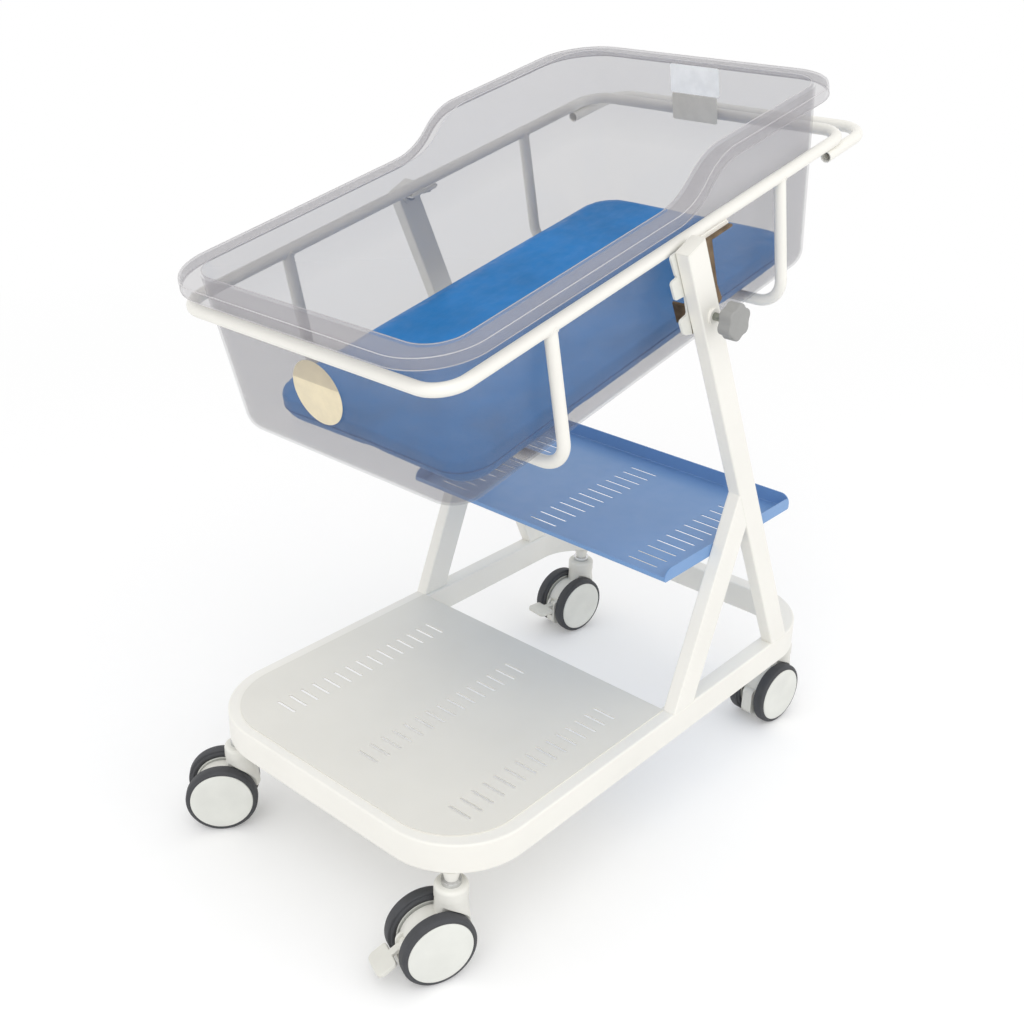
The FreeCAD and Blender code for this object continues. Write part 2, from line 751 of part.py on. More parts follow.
def shelf_screws():
    """Four button-head screws through the shelf's lips into the side frames."""
    screws = []
    head_back = -FRAME_INNER_Y + SHELF_SHEET
    for x, z in (leg_screw_place(), post_screw_place()):
        head = rod_along_y(SCREW_HEAD_R, x, z, head_back, head_back + SCREW_HEAD)
        rim = [edge for edge in head.Edges if abs(edge.BoundBox.YMin - head.BoundBox.YMax) < 0.01]
        head = head.makeFillet(SCREW_HEAD * 0.6, rim)
        tip = -FRAME_INNER_Y - TUBE_WALL - SCREW_TIP
        screw = joined([head, rod_along_y(SCREW_R, x, z, tip, head_back)])
        screws += [screw, mirrored_left(screw)]
    return Part.makeCompound(screws)


# ---------------------------------------------------------------- casters
def caster_socket():
    """Welded socket under the rail that holds a caster stem."""
    profile = [
        Vector(STEM_R + BOLT_FIT, 0, COLLAR_TOP_Z),
        Vector(SOCKET_TIP_R, 0, COLLAR_TOP_Z),
        Vector(SOCKET_TOP_R, 0, RAIL_BOTTOM_Z),
        Vector(SOCKET_BUSH_R, 0, RAIL_BOTTOM_Z),
        Vector(SOCKET_BUSH_R, 0, RAIL_BOTTOM_Z + STEM_IN_RAIL),
        Vector(STEM_R + BOLT_FIT, 0, RAIL_BOTTOM_Z + STEM_IN_RAIL),
    ]
    return revolved(profile, Z_AXIS)


def caster_stem():
    """Plated stem with its round collar."""
    stem_bottom = COLLAR_BOTTOM_Z - STEM_DEPTH
    profile = [
        Vector(0, 0, stem_bottom),
        Vector(STEM_R, 0, stem_bottom),
        Vector(STEM_R, 0, COLLAR_BOTTOM_Z),
        Vector(COLLAR_R, 0, COLLAR_BOTTOM_Z),
        Vector(COLLAR_R, 0, COLLAR_TOP_Z),
        Vector(STEM_R, 0, COLLAR_TOP_Z),
        Vector(STEM_R, 0, RAIL_BOTTOM_Z + STEM_IN_RAIL),
        Vector(0, 0, RAIL_BOTTOM_Z + STEM_IN_RAIL),
    ]
    return revolved(profile, Z_AXIS)


def caster_housing(braked):
    """Moulded housing: swivel cup, flared shoulder, web between the wheels, rear lobe."""
    cup = Part.makeCylinder(CUP_R, CUP_HEIGHT, Vector(0, 0, CUP_BOTTOM_Z))
    top_edge = [edge for edge in cup.Edges if edge.BoundBox.ZMin > CUP_TOP_Z - 0.01]
    cup = cup.makeFillet(CUP_EDGE_R, top_edge)
    shoulder = Part.makeCone(
        SHOULDER_FOOT_R,
        SHOULDER_TOP_R,
        SHOULDER_HEIGHT,
        Vector(0, 0, CUP_BOTTOM_Z - SHOULDER_HEIGHT),
    )
    arch_r = WHEEL_R + WHEEL_ARCH_GAP
    arch_face = WHEEL_INNER_FACE - WHEEL_ARCH_GAP
    arch = rod_along_y(arch_r, CASTER_TRAIL, WHEEL_R, arch_face, arch_face + CUP_R)
    shoulder = shoulder.cut(arch).cut(mirrored_left(arch))
    web = rod_along_y(WEB_R, CASTER_TRAIL, WHEEL_R, -WEB_HALF, WEB_HALF)
    boss_half = WHEEL_INNER_FACE + SEAT_GAP / 3
    boss = rod_along_y(AXLE_BOSS_R, CASTER_TRAIL, WHEEL_R, -boss_half, boss_half)
    rear_x = CASTER_TRAIL + LOBE_REACH
    lobe = side_plate(
        [
            (CASTER_TRAIL, WHEEL_R + LOBE_TOP),
            (rear_x, WHEEL_R + LOBE_TOP),
            (rear_x, WHEEL_R - LOBE_DEPTH),
            (CASTER_TRAIL, WHEEL_R - LOBE_DEPTH),
        ],
        [0, LOBE_TOP * 0.8, LOBE_HALF, 0],
        -LOBE_HALF,
        LOBE_HALF,
    )
    housing = joined([cup, shoulder, web, boss, lobe])
    stem_room = joined(
        [
            Part.makeCylinder(
                STEM_R + RUNNING_FIT,
                STEM_DEPTH + 1 + COLLAR_HEIGHT,
                Vector(0, 0, COLLAR_BOTTOM_Z - STEM_DEPTH - 1),
            ),
            Part.makeCylinder(
                COLLAR_R + RUNNING_FIT, COLLAR_HEIGHT, Vector(0, 0, COLLAR_BOTTOM_Z - RUNNING_FIT)
            ),
        ]
    )
    axle_bore = rod_along_y(AXLE_R + RUNNING_FIT, CASTER_TRAIL, WHEEL_R, -CUP_R, CUP_R)
    housing = housing.cut(stem_room).cut(axle_bore)
    if braked:
        housing = housing.cut(pedal_room())
    return housing


def pedal_room():
    """Slot and pin bore that the brake pedal turns in."""
    slot_half = PEDAL_ARM_HALF + SEAT_GAP
    slot_r = PEDAL_BOSS_R + SEAT_GAP
    around_pin = rod_along_y(slot_r, PEDAL_PIVOT_X, PEDAL_PIVOT_Z, -slot_half, slot_half)
    behind = block(
        PEDAL_PIVOT_X,
        PEDAL_PIVOT_X + CUP_R,
        -slot_half,
        slot_half,
        PEDAL_PIVOT_Z - PEDAL_START,
        PEDAL_PIVOT_Z + PEDAL_START,
    )
    pin_bore = rod_along_y(
        PEDAL_PIN_R + RUNNING_FIT, PEDAL_PIVOT_X, PEDAL_PIVOT_Z, -CUP_R, CUP_R
    )
    return joined([around_pin, behind, pin_bore])


def brake_pedal(angle):
    """Foot pedal with its cross pin, pressed down by an angle from level."""
    half_thickness = PEDAL_THICKNESS / 2
    boss = rod_along_y(
        PEDAL_BOSS_R, PEDAL_PIVOT_X, PEDAL_PIVOT_Z, -PEDAL_ARM_HALF, PEDAL_ARM_HALF
    )
    pin = rod_along_y(PEDAL_PIN_R, PEDAL_PIVOT_X, PEDAL_PIVOT_Z, -LOBE_HALF, LOBE_HALF)
    arm = block(
        PEDAL_PIVOT_X,
        PEDAL_PIVOT_X + PEDAL_START + PEDAL_CORNER_R,
        -PEDAL_ARM_HALF,
        PEDAL_ARM_HALF,
        PEDAL_PIVOT_Z - half_thickness,
        PEDAL_PIVOT_Z + half_thickness,
    )
    wire = rectangle_wire(
        PEDAL_PIVOT_X + PEDAL_START,
        PEDAL_PIVOT_X + PEDAL_TIP,
        PEDAL_HALF,
        PEDAL_PIVOT_Z - half_thickness,
        PEDAL_CORNER_R / 2,
        PEDAL_CORNER_R,
    )
    paddle = prism(wire, Vector(0, 0, PEDAL_THICKNESS))
    top = PEDAL_PIVOT_Z + half_thickness
    top_edges = [edge for edge in paddle.Edges if edge.BoundBox.ZMin > top - 0.01]
    paddle = paddle.makeFillet(half_thickness * 0.6, top_edges)
    pedal = joined([boss, pin, arm, paddle])
    pivot = Vector(PEDAL_PIVOT_X, 0, PEDAL_PIVOT_Z)
    pedal.rotate(pivot, Y_AXIS, angle)
    return pedal


def wheel_place(shape, side):
    """Wheel piece drawn about Y at the origin, moved to one end of the axle."""
    placed = shape if side > 0 else mirrored_left(shape)
    placed = placed.copy()
    placed.translate(Vector(CASTER_TRAIL, 0, WHEEL_R))
    return placed


def tyre():
    """Tyre with a flat tread and rounded shoulders."""
    seat = TYRE_SEAT_R + RUNNING_FIT
    inner = WHEEL_INNER_FACE + HUB_FACE_CROWN
    outer = WHEEL_OUTER_FACE - HUB_RIM_THICKNESS
    face_r = HUB_FACE_R + RUNNING_FIT
    points = [
        Vector(seat, inner, 0),
        Vector(HUB_FACE_R, WHEEL_INNER_FACE, 0),
        Vector(WHEEL_R, WHEEL_INNER_FACE + TREAD_INNER_DROP, 0),
        Vector(WHEEL_R, WHEEL_OUTER_FACE - TREAD_OUTER_DROP, 0),
        Vector(face_r, WHEEL_OUTER_FACE, 0),
        Vector(face_r, outer, 0),
        Vector(seat, outer, 0),
    ]
    wire = rounded_wire(points, [0, 0, TYRE_SHOULDER, TYRE_SHOULDER, 0, 0, 0])
    return Part.Face(wire).revolve(Vector(), Y_AXIS, 360)


def hub():
    """Moulded hub with a closed, slightly crowned outer face."""
    inner = WHEEL_INNER_FACE + HUB_FACE_CROWN
    outer = WHEEL_OUTER_FACE - HUB_RIM_THICKNESS
    dish = inner + HUB_DISH
    bore = AXLE_R + RUNNING_FIT
    boss_face = WHEEL_INNER_FACE + SEAT_GAP * 4 / 3
    blind_end = WHEEL_OUTER_FACE - HUB_COVER
    crown_top = WHEEL_OUTER_FACE + HUB_FACE_CROWN
    lines = [
        Vector(0, crown_top, 0),
        Vector(0, blind_end, 0),
        Vector(bore, blind_end, 0),
        Vector(bore, boss_face, 0),
        Vector(HUB_BOSS_R, boss_face, 0),
        Vector(HUB_BOSS_R, dish, 0),
        Vector(TYRE_SEAT_R - 2 * HUB_DISH, dish, 0),
        Vector(TYRE_SEAT_R - HUB_DISH, inner, 0),
        Vector(TYRE_SEAT_R, inner, 0),
        Vector(TYRE_SEAT_R, outer, 0),
        Vector(HUB_FACE_R, outer, 0),
        Vector(HUB_FACE_R, WHEEL_OUTER_FACE, 0),
    ]
    edges = [Part.makeLine(lines[i], lines[i + 1]) for i in range(len(lines) - 1)]
    crown_r = (HUB_FACE_R**2 + HUB_FACE_CROWN**2) / (2 * HUB_FACE_CROWN)
    half_angle = math.asin(HUB_FACE_R / crown_r) / 2
    middle = Vector(
        crown_r * math.sin(half_angle), crown_top - crown_r * (1 - math.cos(half_angle)), 0
    )
    edges.append(Part.Arc(lines[-1], middle, lines[0]).toShape())
    return Part.Face(Part.Wire(edges)).revolve(Vector(), Y_AXIS, 360)


def axle():
    """Axle pin shared by the two wheels."""
    half = WHEEL_OUTER_FACE - HUB_COVER - SEAT_GAP
    return rod_along_y(AXLE_R, CASTER_TRAIL, WHEEL_R, -half, half)


# ---------------------------------------------------------------- tub
def tub_outline(z, inset):
    """The tub wall's outline at height z, inset for its inner face."""
    return rectangle_wire(
        TUB_FOOT_X - draft(TUB_FOOT_DRAFT, z) + inset,
        TUB_HEAD_X + draft(TUB_HEAD_DRAFT, z) - inset,
        TUB_HALF_WIDTH + draft(TUB_SIDE_DRAFT, z) - inset,
        z,
        TUB_CORNER_R - inset,
        TUB_CORNER_R - inset,
    )


def rim_outline(z, inset):
    """The rim's outline drawn at height z, inset for the inner face of its lip."""
    return rectangle_wire(
        TUB_FOOT_X - draft(TUB_FOOT_DRAFT, RIM_LOW_Z) - RIM_OVER_FOOT + inset,
        TUB_HEAD_X + draft(TUB_HEAD_DRAFT, RIM_LOW_Z) + RIM_OVER_HEAD - inset,
        TUB_HALF_WIDTH + draft(TUB_SIDE_DRAFT, RIM_LOW_Z) + RIM_OVER_SIDE - inset,
        z,
        RIM_CORNER_R - inset,
        RIM_CORNER_R - inset,
    )


def tub_block(inset, floor_z, floor_radius):
    """Solid block bounded by the drafted walls and the rounded floor edge."""
    top_z = RIM_HIGH_Z + RIM_LIP
    walls = [tub_outline(TUB_BOTTOM_Z, inset), tub_outline(top_z, inset)]
    body = Part.makeLoft(walls, True, True)
    floor_cut = block(
        2 * TUB_FOOT_X,
        2 * TUB_HEAD_X,
        -2 * TUB_HALF_WIDTH,
        2 * TUB_HALF_WIDTH,
        TUB_BOTTOM_Z - 1,
        floor_z,
    )
    if floor_z > TUB_BOTTOM_Z:
        body = body.cut(floor_cut)
    floor_edges = [edge for edge in body.Edges if edge.BoundBox.ZMax < floor_z + 0.01]
    return body.makeFillet(floor_radius, floor_edges)


def under_rim(drop, half_width):
    """Everything below the rim line less a drop, as a block across the tub."""
    low = RIM_LOW_Z - drop
    high = RIM_HIGH_Z - drop
    x0 = 2 * TUB_FOOT_X
    x1 = 2 * TUB_HEAD_X
    floor = 2 * TUB_BOTTOM_Z
    valley = Vector(RIM_SLOPE_START, -half_width, RIM_LOW_Z + RIM_SLOPE_R)
    crest = Vector(RIM_SLOPE_END, -half_width, RIM_HIGH_Z - RIM_SLOPE_R)
    slope = (crest - valley).normalize()
    start = Vector(RIM_SLOPE_START, -half_width, low)
    end = Vector(RIM_SLOPE_END, -half_width, high)
    joint = valley + slope * (RIM_SLOPE_R + drop)
    valley_down = (start - valley).normalize()
    crest_up = (end - crest).normalize()
    valley_middle = valley + (valley_down + slope).normalize() * (RIM_SLOPE_R + drop)
    crest_middle = crest + (crest_up - slope).normalize() * (RIM_SLOPE_R - drop)
    far = Vector(x1, -half_width, high)
    far_floor = Vector(x1, -half_width, floor)
    near_floor = Vector(x0, -half_width, floor)
    near = Vector(x0, -half_width, low)
    edges = [
        Part.makeLine(near, start),
        Part.Arc(start, valley_middle, joint).toShape(),
        Part.Arc(joint, crest_middle, end).toShape(),
        Part.makeLine(end, far),
        Part.makeLine(far, far_floor),
        Part.makeLine(far_floor, near_floor),
        Part.makeLine(near_floor, near),
    ]
    return prism(Part.Wire(edges), Vector(0, 2 * half_width, 0))


def tub():
    """Thin moulded tub whose rolled rim steps up in an S at the head end."""
    reach = TUB_HALF_WIDTH + draft(TUB_SIDE_DRAFT, RIM_HIGH_Z) + RIM_OVER_SIDE + TUB_WALL
    height = Vector(0, 0, RIM_HIGH_Z - RIM_LOW_Z + 2 * RIM_LIP)
    base_z = RIM_LOW_Z - 1.5 * RIM_LIP
    rim_block = prism(rim_outline(base_z, 0), height).common(under_rim(0, reach))
    rim_top = [
        edge
        for edge in rim_block.Edges
        if edge.BoundBox.ZMin > RIM_LOW_Z - 0.01 and is_rim_edge(edge, rim_block)
    ]
    rim_block = rim_block.makeFillet(RIM_EDGE_R, rim_top)
    rim = rim_block.cut(under_rim(RIM_LIP, reach))
    hollow = prism(rim_outline(base_z, TUB_WALL), height).common(under_rim(TUB_WALL, reach))
    rim = rim.cut(hollow)
    outside = tub_block(0, TUB_BOTTOM_Z, TUB_FLOOR_R).common(under_rim(0, reach))
    inside = tub_block(TUB_WALL, TUB_BOTTOM_Z + TUB_WALL, TUB_FLOOR_R - TUB_WALL)
    return joined([outside, rim]).cut(inside)


def is_rim_edge(edge, rim_block):
    """Whether an edge of the rim block lies between its top and its upright sides."""
    middle = edge.valueAt((edge.FirstParameter + edge.LastParameter) / 2)
    on_top = abs(middle.z - rim_height(middle.x)) < 0.01
    side = rim_block.BoundBox.YMax
    crossing = abs(edge.BoundBox.YMin + side) < 0.01 and abs(edge.BoundBox.YMax - side) < 0.01
    return on_top and not crossing or on_top and is_end_edge(edge, rim_block)


def is_end_edge(edge, rim_block):
    """Whether an edge runs across the foot or the head end of the rim block."""
    box = rim_block.BoundBox
    at_foot = abs(edge.BoundBox.XMax - box.XMin) < 0.01
    at_head = abs(edge.BoundBox.XMin - box.XMax) < 0.01
    return at_foot or at_head


def rim_height(x):
    """Height of the rim's top at x: low, S-shaped slope, high."""
    if x <= RIM_SLOPE_START:
        return RIM_LOW_Z
    if x >= RIM_SLOPE_END:
        return RIM_HIGH_Z
    middle = (RIM_SLOPE_START + RIM_SLOPE_END) / 2
    if x < middle:
        drop = RIM_SLOPE_R - math.sqrt(RIM_SLOPE_R**2 - (x - RIM_SLOPE_START) ** 2)
        return RIM_LOW_Z + drop
    rise = RIM_SLOPE_R - math.sqrt(RIM_SLOPE_R**2 - (RIM_SLOPE_END - x) ** 2)
    return RIM_HIGH_Z - rise


def mattress():
    """Foam mattress lying on the tub's floor."""
    bottom = TUB_BOTTOM_Z + TUB_WALL + SEAT_GAP
    wire = rectangle_wire(
        TUB_FOOT_X + TUB_WALL + MATTRESS_FOOT_GAP,
        TUB_HEAD_X - TUB_WALL - MATTRESS_HEAD_GAP,
        TUB_HALF_WIDTH - TUB_WALL - MATTRESS_SIDE_GAP,
        bottom,
        MATTRESS_CORNER_R,
        MATTRESS_CORNER_R,
    )
    pad = prism(wire, Vector(0, 0, MATTRESS_THICKNESS))
    low_edges = [edge for edge in pad.Edges if edge.BoundBox.ZMax < bottom + 0.01]
    pad = pad.makeFillet(MATTRESS_LOW_R, low_edges)
    top = bottom + MATTRESS_THICKNESS
    top_edges = [edge for edge in pad.Edges if edge.BoundBox.ZMin > top - 0.01]
    return pad.makeFillet(MATTRESS_TOP_R, top_edges)


# ---------------------------------------------------------------- basket frame
def ring_corners():
    """Corner points of the ring tube's axis."""
    return [
        Vector(RING_FOOT_X, -RING_Y, 0),
        Vector(RING_HEAD_X, -RING_Y, 0),
        Vector(RING_HEAD_X, RING_Y, 0),
        Vector(RING_FOOT_X, RING_Y, 0),
    ]


def basket_ring():
    """Closed tube ring that the tub drops into, with a vent hole in its underside."""
    ring = bent_tube(ring_corners(), RING_CORNER_R, closed=True)
    vent = Part.makeCylinder(VENT_R, ROD_R, Vector(RING_HEAD_X, 0, -ROD_R - 1))
    return ring.cut(vent)


def hanger(x):
    """U-shaped cradle tube that carries the tub's floor, saddle-cut to the ring."""
    points = [
        Vector(x, -RING_Y, 0),
        Vector(x, -RING_Y, -HANGER_DROP),
        Vector(x, RING_Y, -HANGER_DROP),
        Vector(x, RING_Y, 0),
    ]
    saddle = Part.makeCylinder(
        ROD_R + RUNNING_FIT, 4 * ROD_R, Vector(x - 2 * ROD_R, -RING_Y, 0), X_AXIS
    )
    return bent_tube(points, HANGER_BEND_R).cut(saddle).cut(mirrored_left(saddle))


def push_handle():
    """U-shaped handle tube welded under the head end of the ring."""
    points = [
        Vector(HANDLE_START_X, -RING_Y, -HANDLE_DROP),
        Vector(HANDLE_END_X, -RING_Y, -HANDLE_DROP),
        Vector(HANDLE_END_X, RING_Y, -HANDLE_DROP),
        Vector(HANDLE_START_X, RING_Y, -HANDLE_DROP),
    ]
    return bent_tube(points, HANDLE_BEND_R)


# ---------------------------------------------------------------- tilt pivot and clamp
def right_screw_spots():
    """Places of the screws through the right strip and the quadrant's flange."""
    return [STRIP_START_X + BRACKET_SCREW_INSET, STRIP_END_X - BRACKET_SCREW_INSET]


def left_screw_spots():
    """Place of the screw through the left strip and the left bracket's flange."""
    return [LEFT_STRIP_END_X - BRACKET_SCREW_INSET]


def screw_holes(shape, spots):
    """The shape with the bracket screws' clearance holes."""
    depth = 2 * PLATE_THICKNESS + 2 * STRIP_THICKNESS
    for x in spots:
        base = Vector(x, -RING_Y, FLANGE_TOP_Z - 2 * PLATE_THICKNESS)
        shape = shape.cut(Part.makeCylinder(BRACKET_SCREW_R + BOLT_FIT, depth, base))
    return shape


def pivot_strip(start_x, end_x, spots):
    """Flat bar welded under the ring tube, drawn on the right side."""
    strip = block(
        start_x, end_x, -RING_Y - ROD_R, -RING_Y + ROD_R, FLANGE_TOP_Z, STRIP_TOP_Z
    )
    return screw_holes(strip, spots)


def bracket_flange(end_x):
    """Level flange that screws up against the strip, on the right side."""
    return block(
        STRIP_START_X,
        end_x,
        -PLATE_OUTER_Y,
        -PLATE_OUTER_Y + FLANGE_WIDTH,
        FLANGE_TOP_Z - PLATE_THICKNESS,
        FLANGE_TOP_Z,
    )


def pivot_ear():
    """Round ear about the pivot, on the right side."""
    return rod_along_y(EAR_R, 0, -PIVOT_BELOW_RING, -PLATE_OUTER_Y, -PLATE_INNER_Y)


def pivot_bore():
    """Bore for the pivot pin, on the right side."""
    return rod_along_y(
        PIVOT_R + RUNNING_FIT, 0, -PIVOT_BELOW_RING, -PLATE_OUTER_Y - 1, -PLATE_INNER_Y + 1
    )


def arc_slot():
    """Curved slot about the pivot that the clamp stud runs in."""
    rest = -90 + POST_LEAN - BASKET_TILT
    first = math.radians(rest - TILT_UP - SLOT_END_ANGLE)
    last = math.radians(rest + TILT_DOWN + SLOT_END_ANGLE)
    middle = (first + last) / 2
    half = STUD_R + STUD_SLACK
    y0 = -PLATE_OUTER_Y - 1

    def spot(radius, angle):
        return Vector(
            radius * math.cos(angle), y0, -PIVOT_BELOW_RING + radius * math.sin(angle)
        )

    inner = STUD_RADIUS - half
    outer = STUD_RADIUS + half
    step = half / STUD_RADIUS
    edges = [
        Part.Arc(spot(inner, first), spot(inner, middle), spot(inner, last)).toShape(),
        Part.Arc(
            spot(inner, last), spot(STUD_RADIUS, last + step), spot(outer, last)
        ).toShape(),
        Part.Arc(spot(outer, last), spot(outer, middle), spot(outer, first)).toShape(),
        Part.Arc(
            spot(outer, first), spot(STUD_RADIUS, first - step), spot(inner, first)
        ).toShape(),
    ]
    return prism(Part.Wire(edges), Vector(0, PLATE_THICKNESS + 2, 0))


def guard_edge():
    """The line between the quadrant and its guard, top to bottom."""
    return [(GUARD_BOUNDARY_X, -PIVOT_BELOW_RING), (QUADRANT_FOOT_X, QUADRANT_FOOT_Z)]


def quadrant():
    """Quadrant plate with its arc slot, pivot ear and folded top flange."""
    y0 = -PLATE_OUTER_Y
    top, bottom = guard_edge()
    corners = [
        Vector(top[0], y0, top[1]),
        Vector(bottom[0], y0, bottom[1]),
        Vector(QUADRANT_HEAD_X, y0, QUADRANT_BOTTOM_Z),
        Vector(QUADRANT_STEP_X, y0, QUADRANT_STEP_Z),
        Vector(QUADRANT_TOP_X, y0, FLANGE_TOP_Z),
        Vector(0, y0, FLANGE_TOP_Z),
    ]
    belly = Vector((bottom[0] + QUADRANT_HEAD_X) / 2, y0, QUADRANT_MID_Z)
    edges = [
        Part.makeLine(corners[0], corners[1]),
        Part.Arc(corners[1], belly, corners[2]).toShape(),
        Part.makeLine(corners[2], corners[3]),
        Part.makeLine(corners[3], corners[4]),
        Part.makeLine(corners[4], corners[5]),
        Part.makeLine(corners[5], corners[0]),
    ]
    plate = prism(Part.Wire(edges), Vector(0, PLATE_THICKNESS, 0))
    corner_edges = [
        edge
        for edge in plate.Edges
        if abs(edge.BoundBox.XMin - QUADRANT_HEAD_X) < 0.01
        and abs(edge.BoundBox.XMax - QUADRANT_HEAD_X) < 0.01
    ]
    plate = plate.makeFillet(QUADRANT_CORNER_R, corner_edges)
    whole = joined([plate, pivot_ear(), bracket_flange(STRIP_END_X)])
    return screw_holes(whole.cut(pivot_bore()).cut(arc_slot()), right_screw_spots())


def quadrant_guard():
    """White guard along the quadrant's foot edge, with three finger lobes."""
    top, bottom = guard_edge()
    span = bottom[1] - top[1]

    def edge_x(z):
        return top[0] + (bottom[0] - top[0]) * (z - top[1]) / span

    outline = [
        top,
        (edge_x(GUARD_TOP_Z), GUARD_TOP_Z),
        (UPPER_LOBE_X, GUARD_TOP_Z),
        (UPPER_LOBE_END_X, UPPER_LOBE_END_Z),
        (NICK_X, NICK_Z),
        (MIDDLE_LOBE_X, MIDDLE_LOBE_Z),
        (MIDDLE_LOBE_END_X, MIDDLE_LOBE_END_Z),
        (NOTCH_TOP_X, NOTCH_TOP_Z),
        (NOTCH_FOOT_X, NOTCH_FOOT_Z),
        (LOWER_LOBE_X, LOWER_LOBE_Z),
        (LOWER_LOBE_END_X, LOWER_LOBE_END_Z),
        bottom,
    ]
    radii = [
        0,
        0,
        GUARD_LOBE_R,
        UPPER_LOBE_R,
        GUARD_NICK_R,
        GUARD_LOBE_R,
        GUARD_LOBE_R,
        GUARD_HOLLOW_R,
        GUARD_HOLLOW_R,
        GUARD_LOBE_R,
        GUARD_TAIL_R,
        0,
    ]
    plate = side_plate(outline, radii, -PLATE_OUTER_Y, -PLATE_INNER_Y)
    return plate.cut(pivot_ear())


def left_bracket():
    """Pivot bracket on the left side: a short ear plate folded under the strip."""
    foot_plate = side_plate(
        [
            (0, -PIVOT_BELOW_RING - EAR_R),
            (LEFT_STRIP_END_X, FLANGE_TOP_Z - 2 * PLATE_THICKNESS),
            (LEFT_STRIP_END_X, FLANGE_TOP_Z),
            (0, FLANGE_TOP_Z),
        ],
        [0] * 4,
        -PLATE_OUTER_Y,
        -PLATE_INNER_Y,
    )
    whole = joined([foot_plate, pivot_ear(), bracket_flange(LEFT_STRIP_END_X)])
    return mirrored_left(screw_holes(whole.cut(pivot_bore()), left_screw_spots()))


def bracket_screws():
    """Screws that hold both brackets to their strips."""
    bottom = FLANGE_TOP_Z - PLATE_THICKNESS

    def screw(x):
        head = Part.makeCylinder(
            2 * BRACKET_SCREW_R, BRACKET_SCREW_R, Vector(x, -RING_Y, bottom - BRACKET_SCREW_R)
        )
        shank = Part.makeCylinder(
            BRACKET_SCREW_R, PLATE_THICKNESS + STRIP_THICKNESS, Vector(x, -RING_Y, bottom)
        )
        return joined([head, shank])

    right = [screw(x) for x in right_screw_spots()]
    left = [mirrored_left(screw(x)) for x in left_screw_spots()]
    return Part.makeCompound(right + left)


def pivot_pin():
    """Headed pivot pin fixed in the right post's inner wall."""
    shank = rod_along_y(
        PIVOT_R, PIVOT.x, PIVOT.z, -FRAME_INNER_Y - 2 * TUBE_WALL, -PLATE_INNER_Y + SEAT_GAP
    )
    head_face = -PLATE_INNER_Y + SEAT_GAP
    head = rod_along_y(PIVOT_HEAD_R, PIVOT.x, PIVOT.z, head_face, head_face + PIVOT_HEAD)
    return joined([shank, head])


def knob_boss():
    """Weld boss on the post's outer face that guides the clamp stud."""
    outer = -FRAME_OUTER_Y - BOSS_HEIGHT
    boss = rod_along_y(BOSS_R, STUD.x, STUD.z, outer, -FRAME_OUTER_Y)
    bore = rod_along_y(STUD_R + RUNNING_FIT, STUD.x, STUD.z, outer - 1, 0)
    return boss.cut(bore)


def clamp_plate():
    """Folded clamp plate behind the quadrant, with a lip along its foot side."""
    plate = oblique_block(
        STUD,
        -CLAMP_LIP_SIDE,
        CLAMP_FREE_SIDE,
        -CLAMP_BELOW_STUD,
        CLAMP_ABOVE_STUD,
        -CLAMP_OUTER_Y,
        -CLAMP_INNER_Y,
    )
    lip = oblique_block(
        STUD,
        -CLAMP_LIP_SIDE,
        -CLAMP_LIP_SIDE + PLATE_THICKNESS,
        -CLAMP_BELOW_STUD,
        CLAMP_ABOVE_STUD,
        -CLAMP_INNER_Y,
        -CLAMP_INNER_Y + CLAMP_LIP,
    )
    bore = rod_along_y(STUD_R + RUNNING_FIT, STUD.x, STUD.z, -FRAME_OUTER_Y, 0)
    return joined([plate, lip]).cut(bore)


def clamp_nut():
    """Hexagon nut behind the clamp plate."""
    y0 = -CLAMP_INNER_Y
    corners = []
    for i in range(6):
        angle = math.radians(60 * i + POST_LEAN)
        x = STUD.x + NUT_R * math.cos(angle)
        z = STUD.z + NUT_R * math.sin(angle)
        corners.append((x, z))
    nut = side_plate(corners, [0] * 6, y0, y0 + NUT_HEIGHT)
    bore = rod_along_y(STUD_R + RUNNING_FIT, STUD.x, STUD.z, -FRAME_OUTER_Y, 0)
    return nut.cut(bore)


def clamp_stud():
    """Stud from the knob through the post, the quadrant slot and the clamp nut."""
    inner_end = -CLAMP_INNER_Y + NUT_HEIGHT + STUD_BEYOND_NUT
    return rod_along_y(STUD_R, STUD.x, STUD.z, knob_back() - KNOB_NECK, inner_end)


def knob_back():
    """Y of the knob neck's inner face."""
    return -FRAME_OUTER_Y - BOSS_HEIGHT - KNOB_STANDOFF


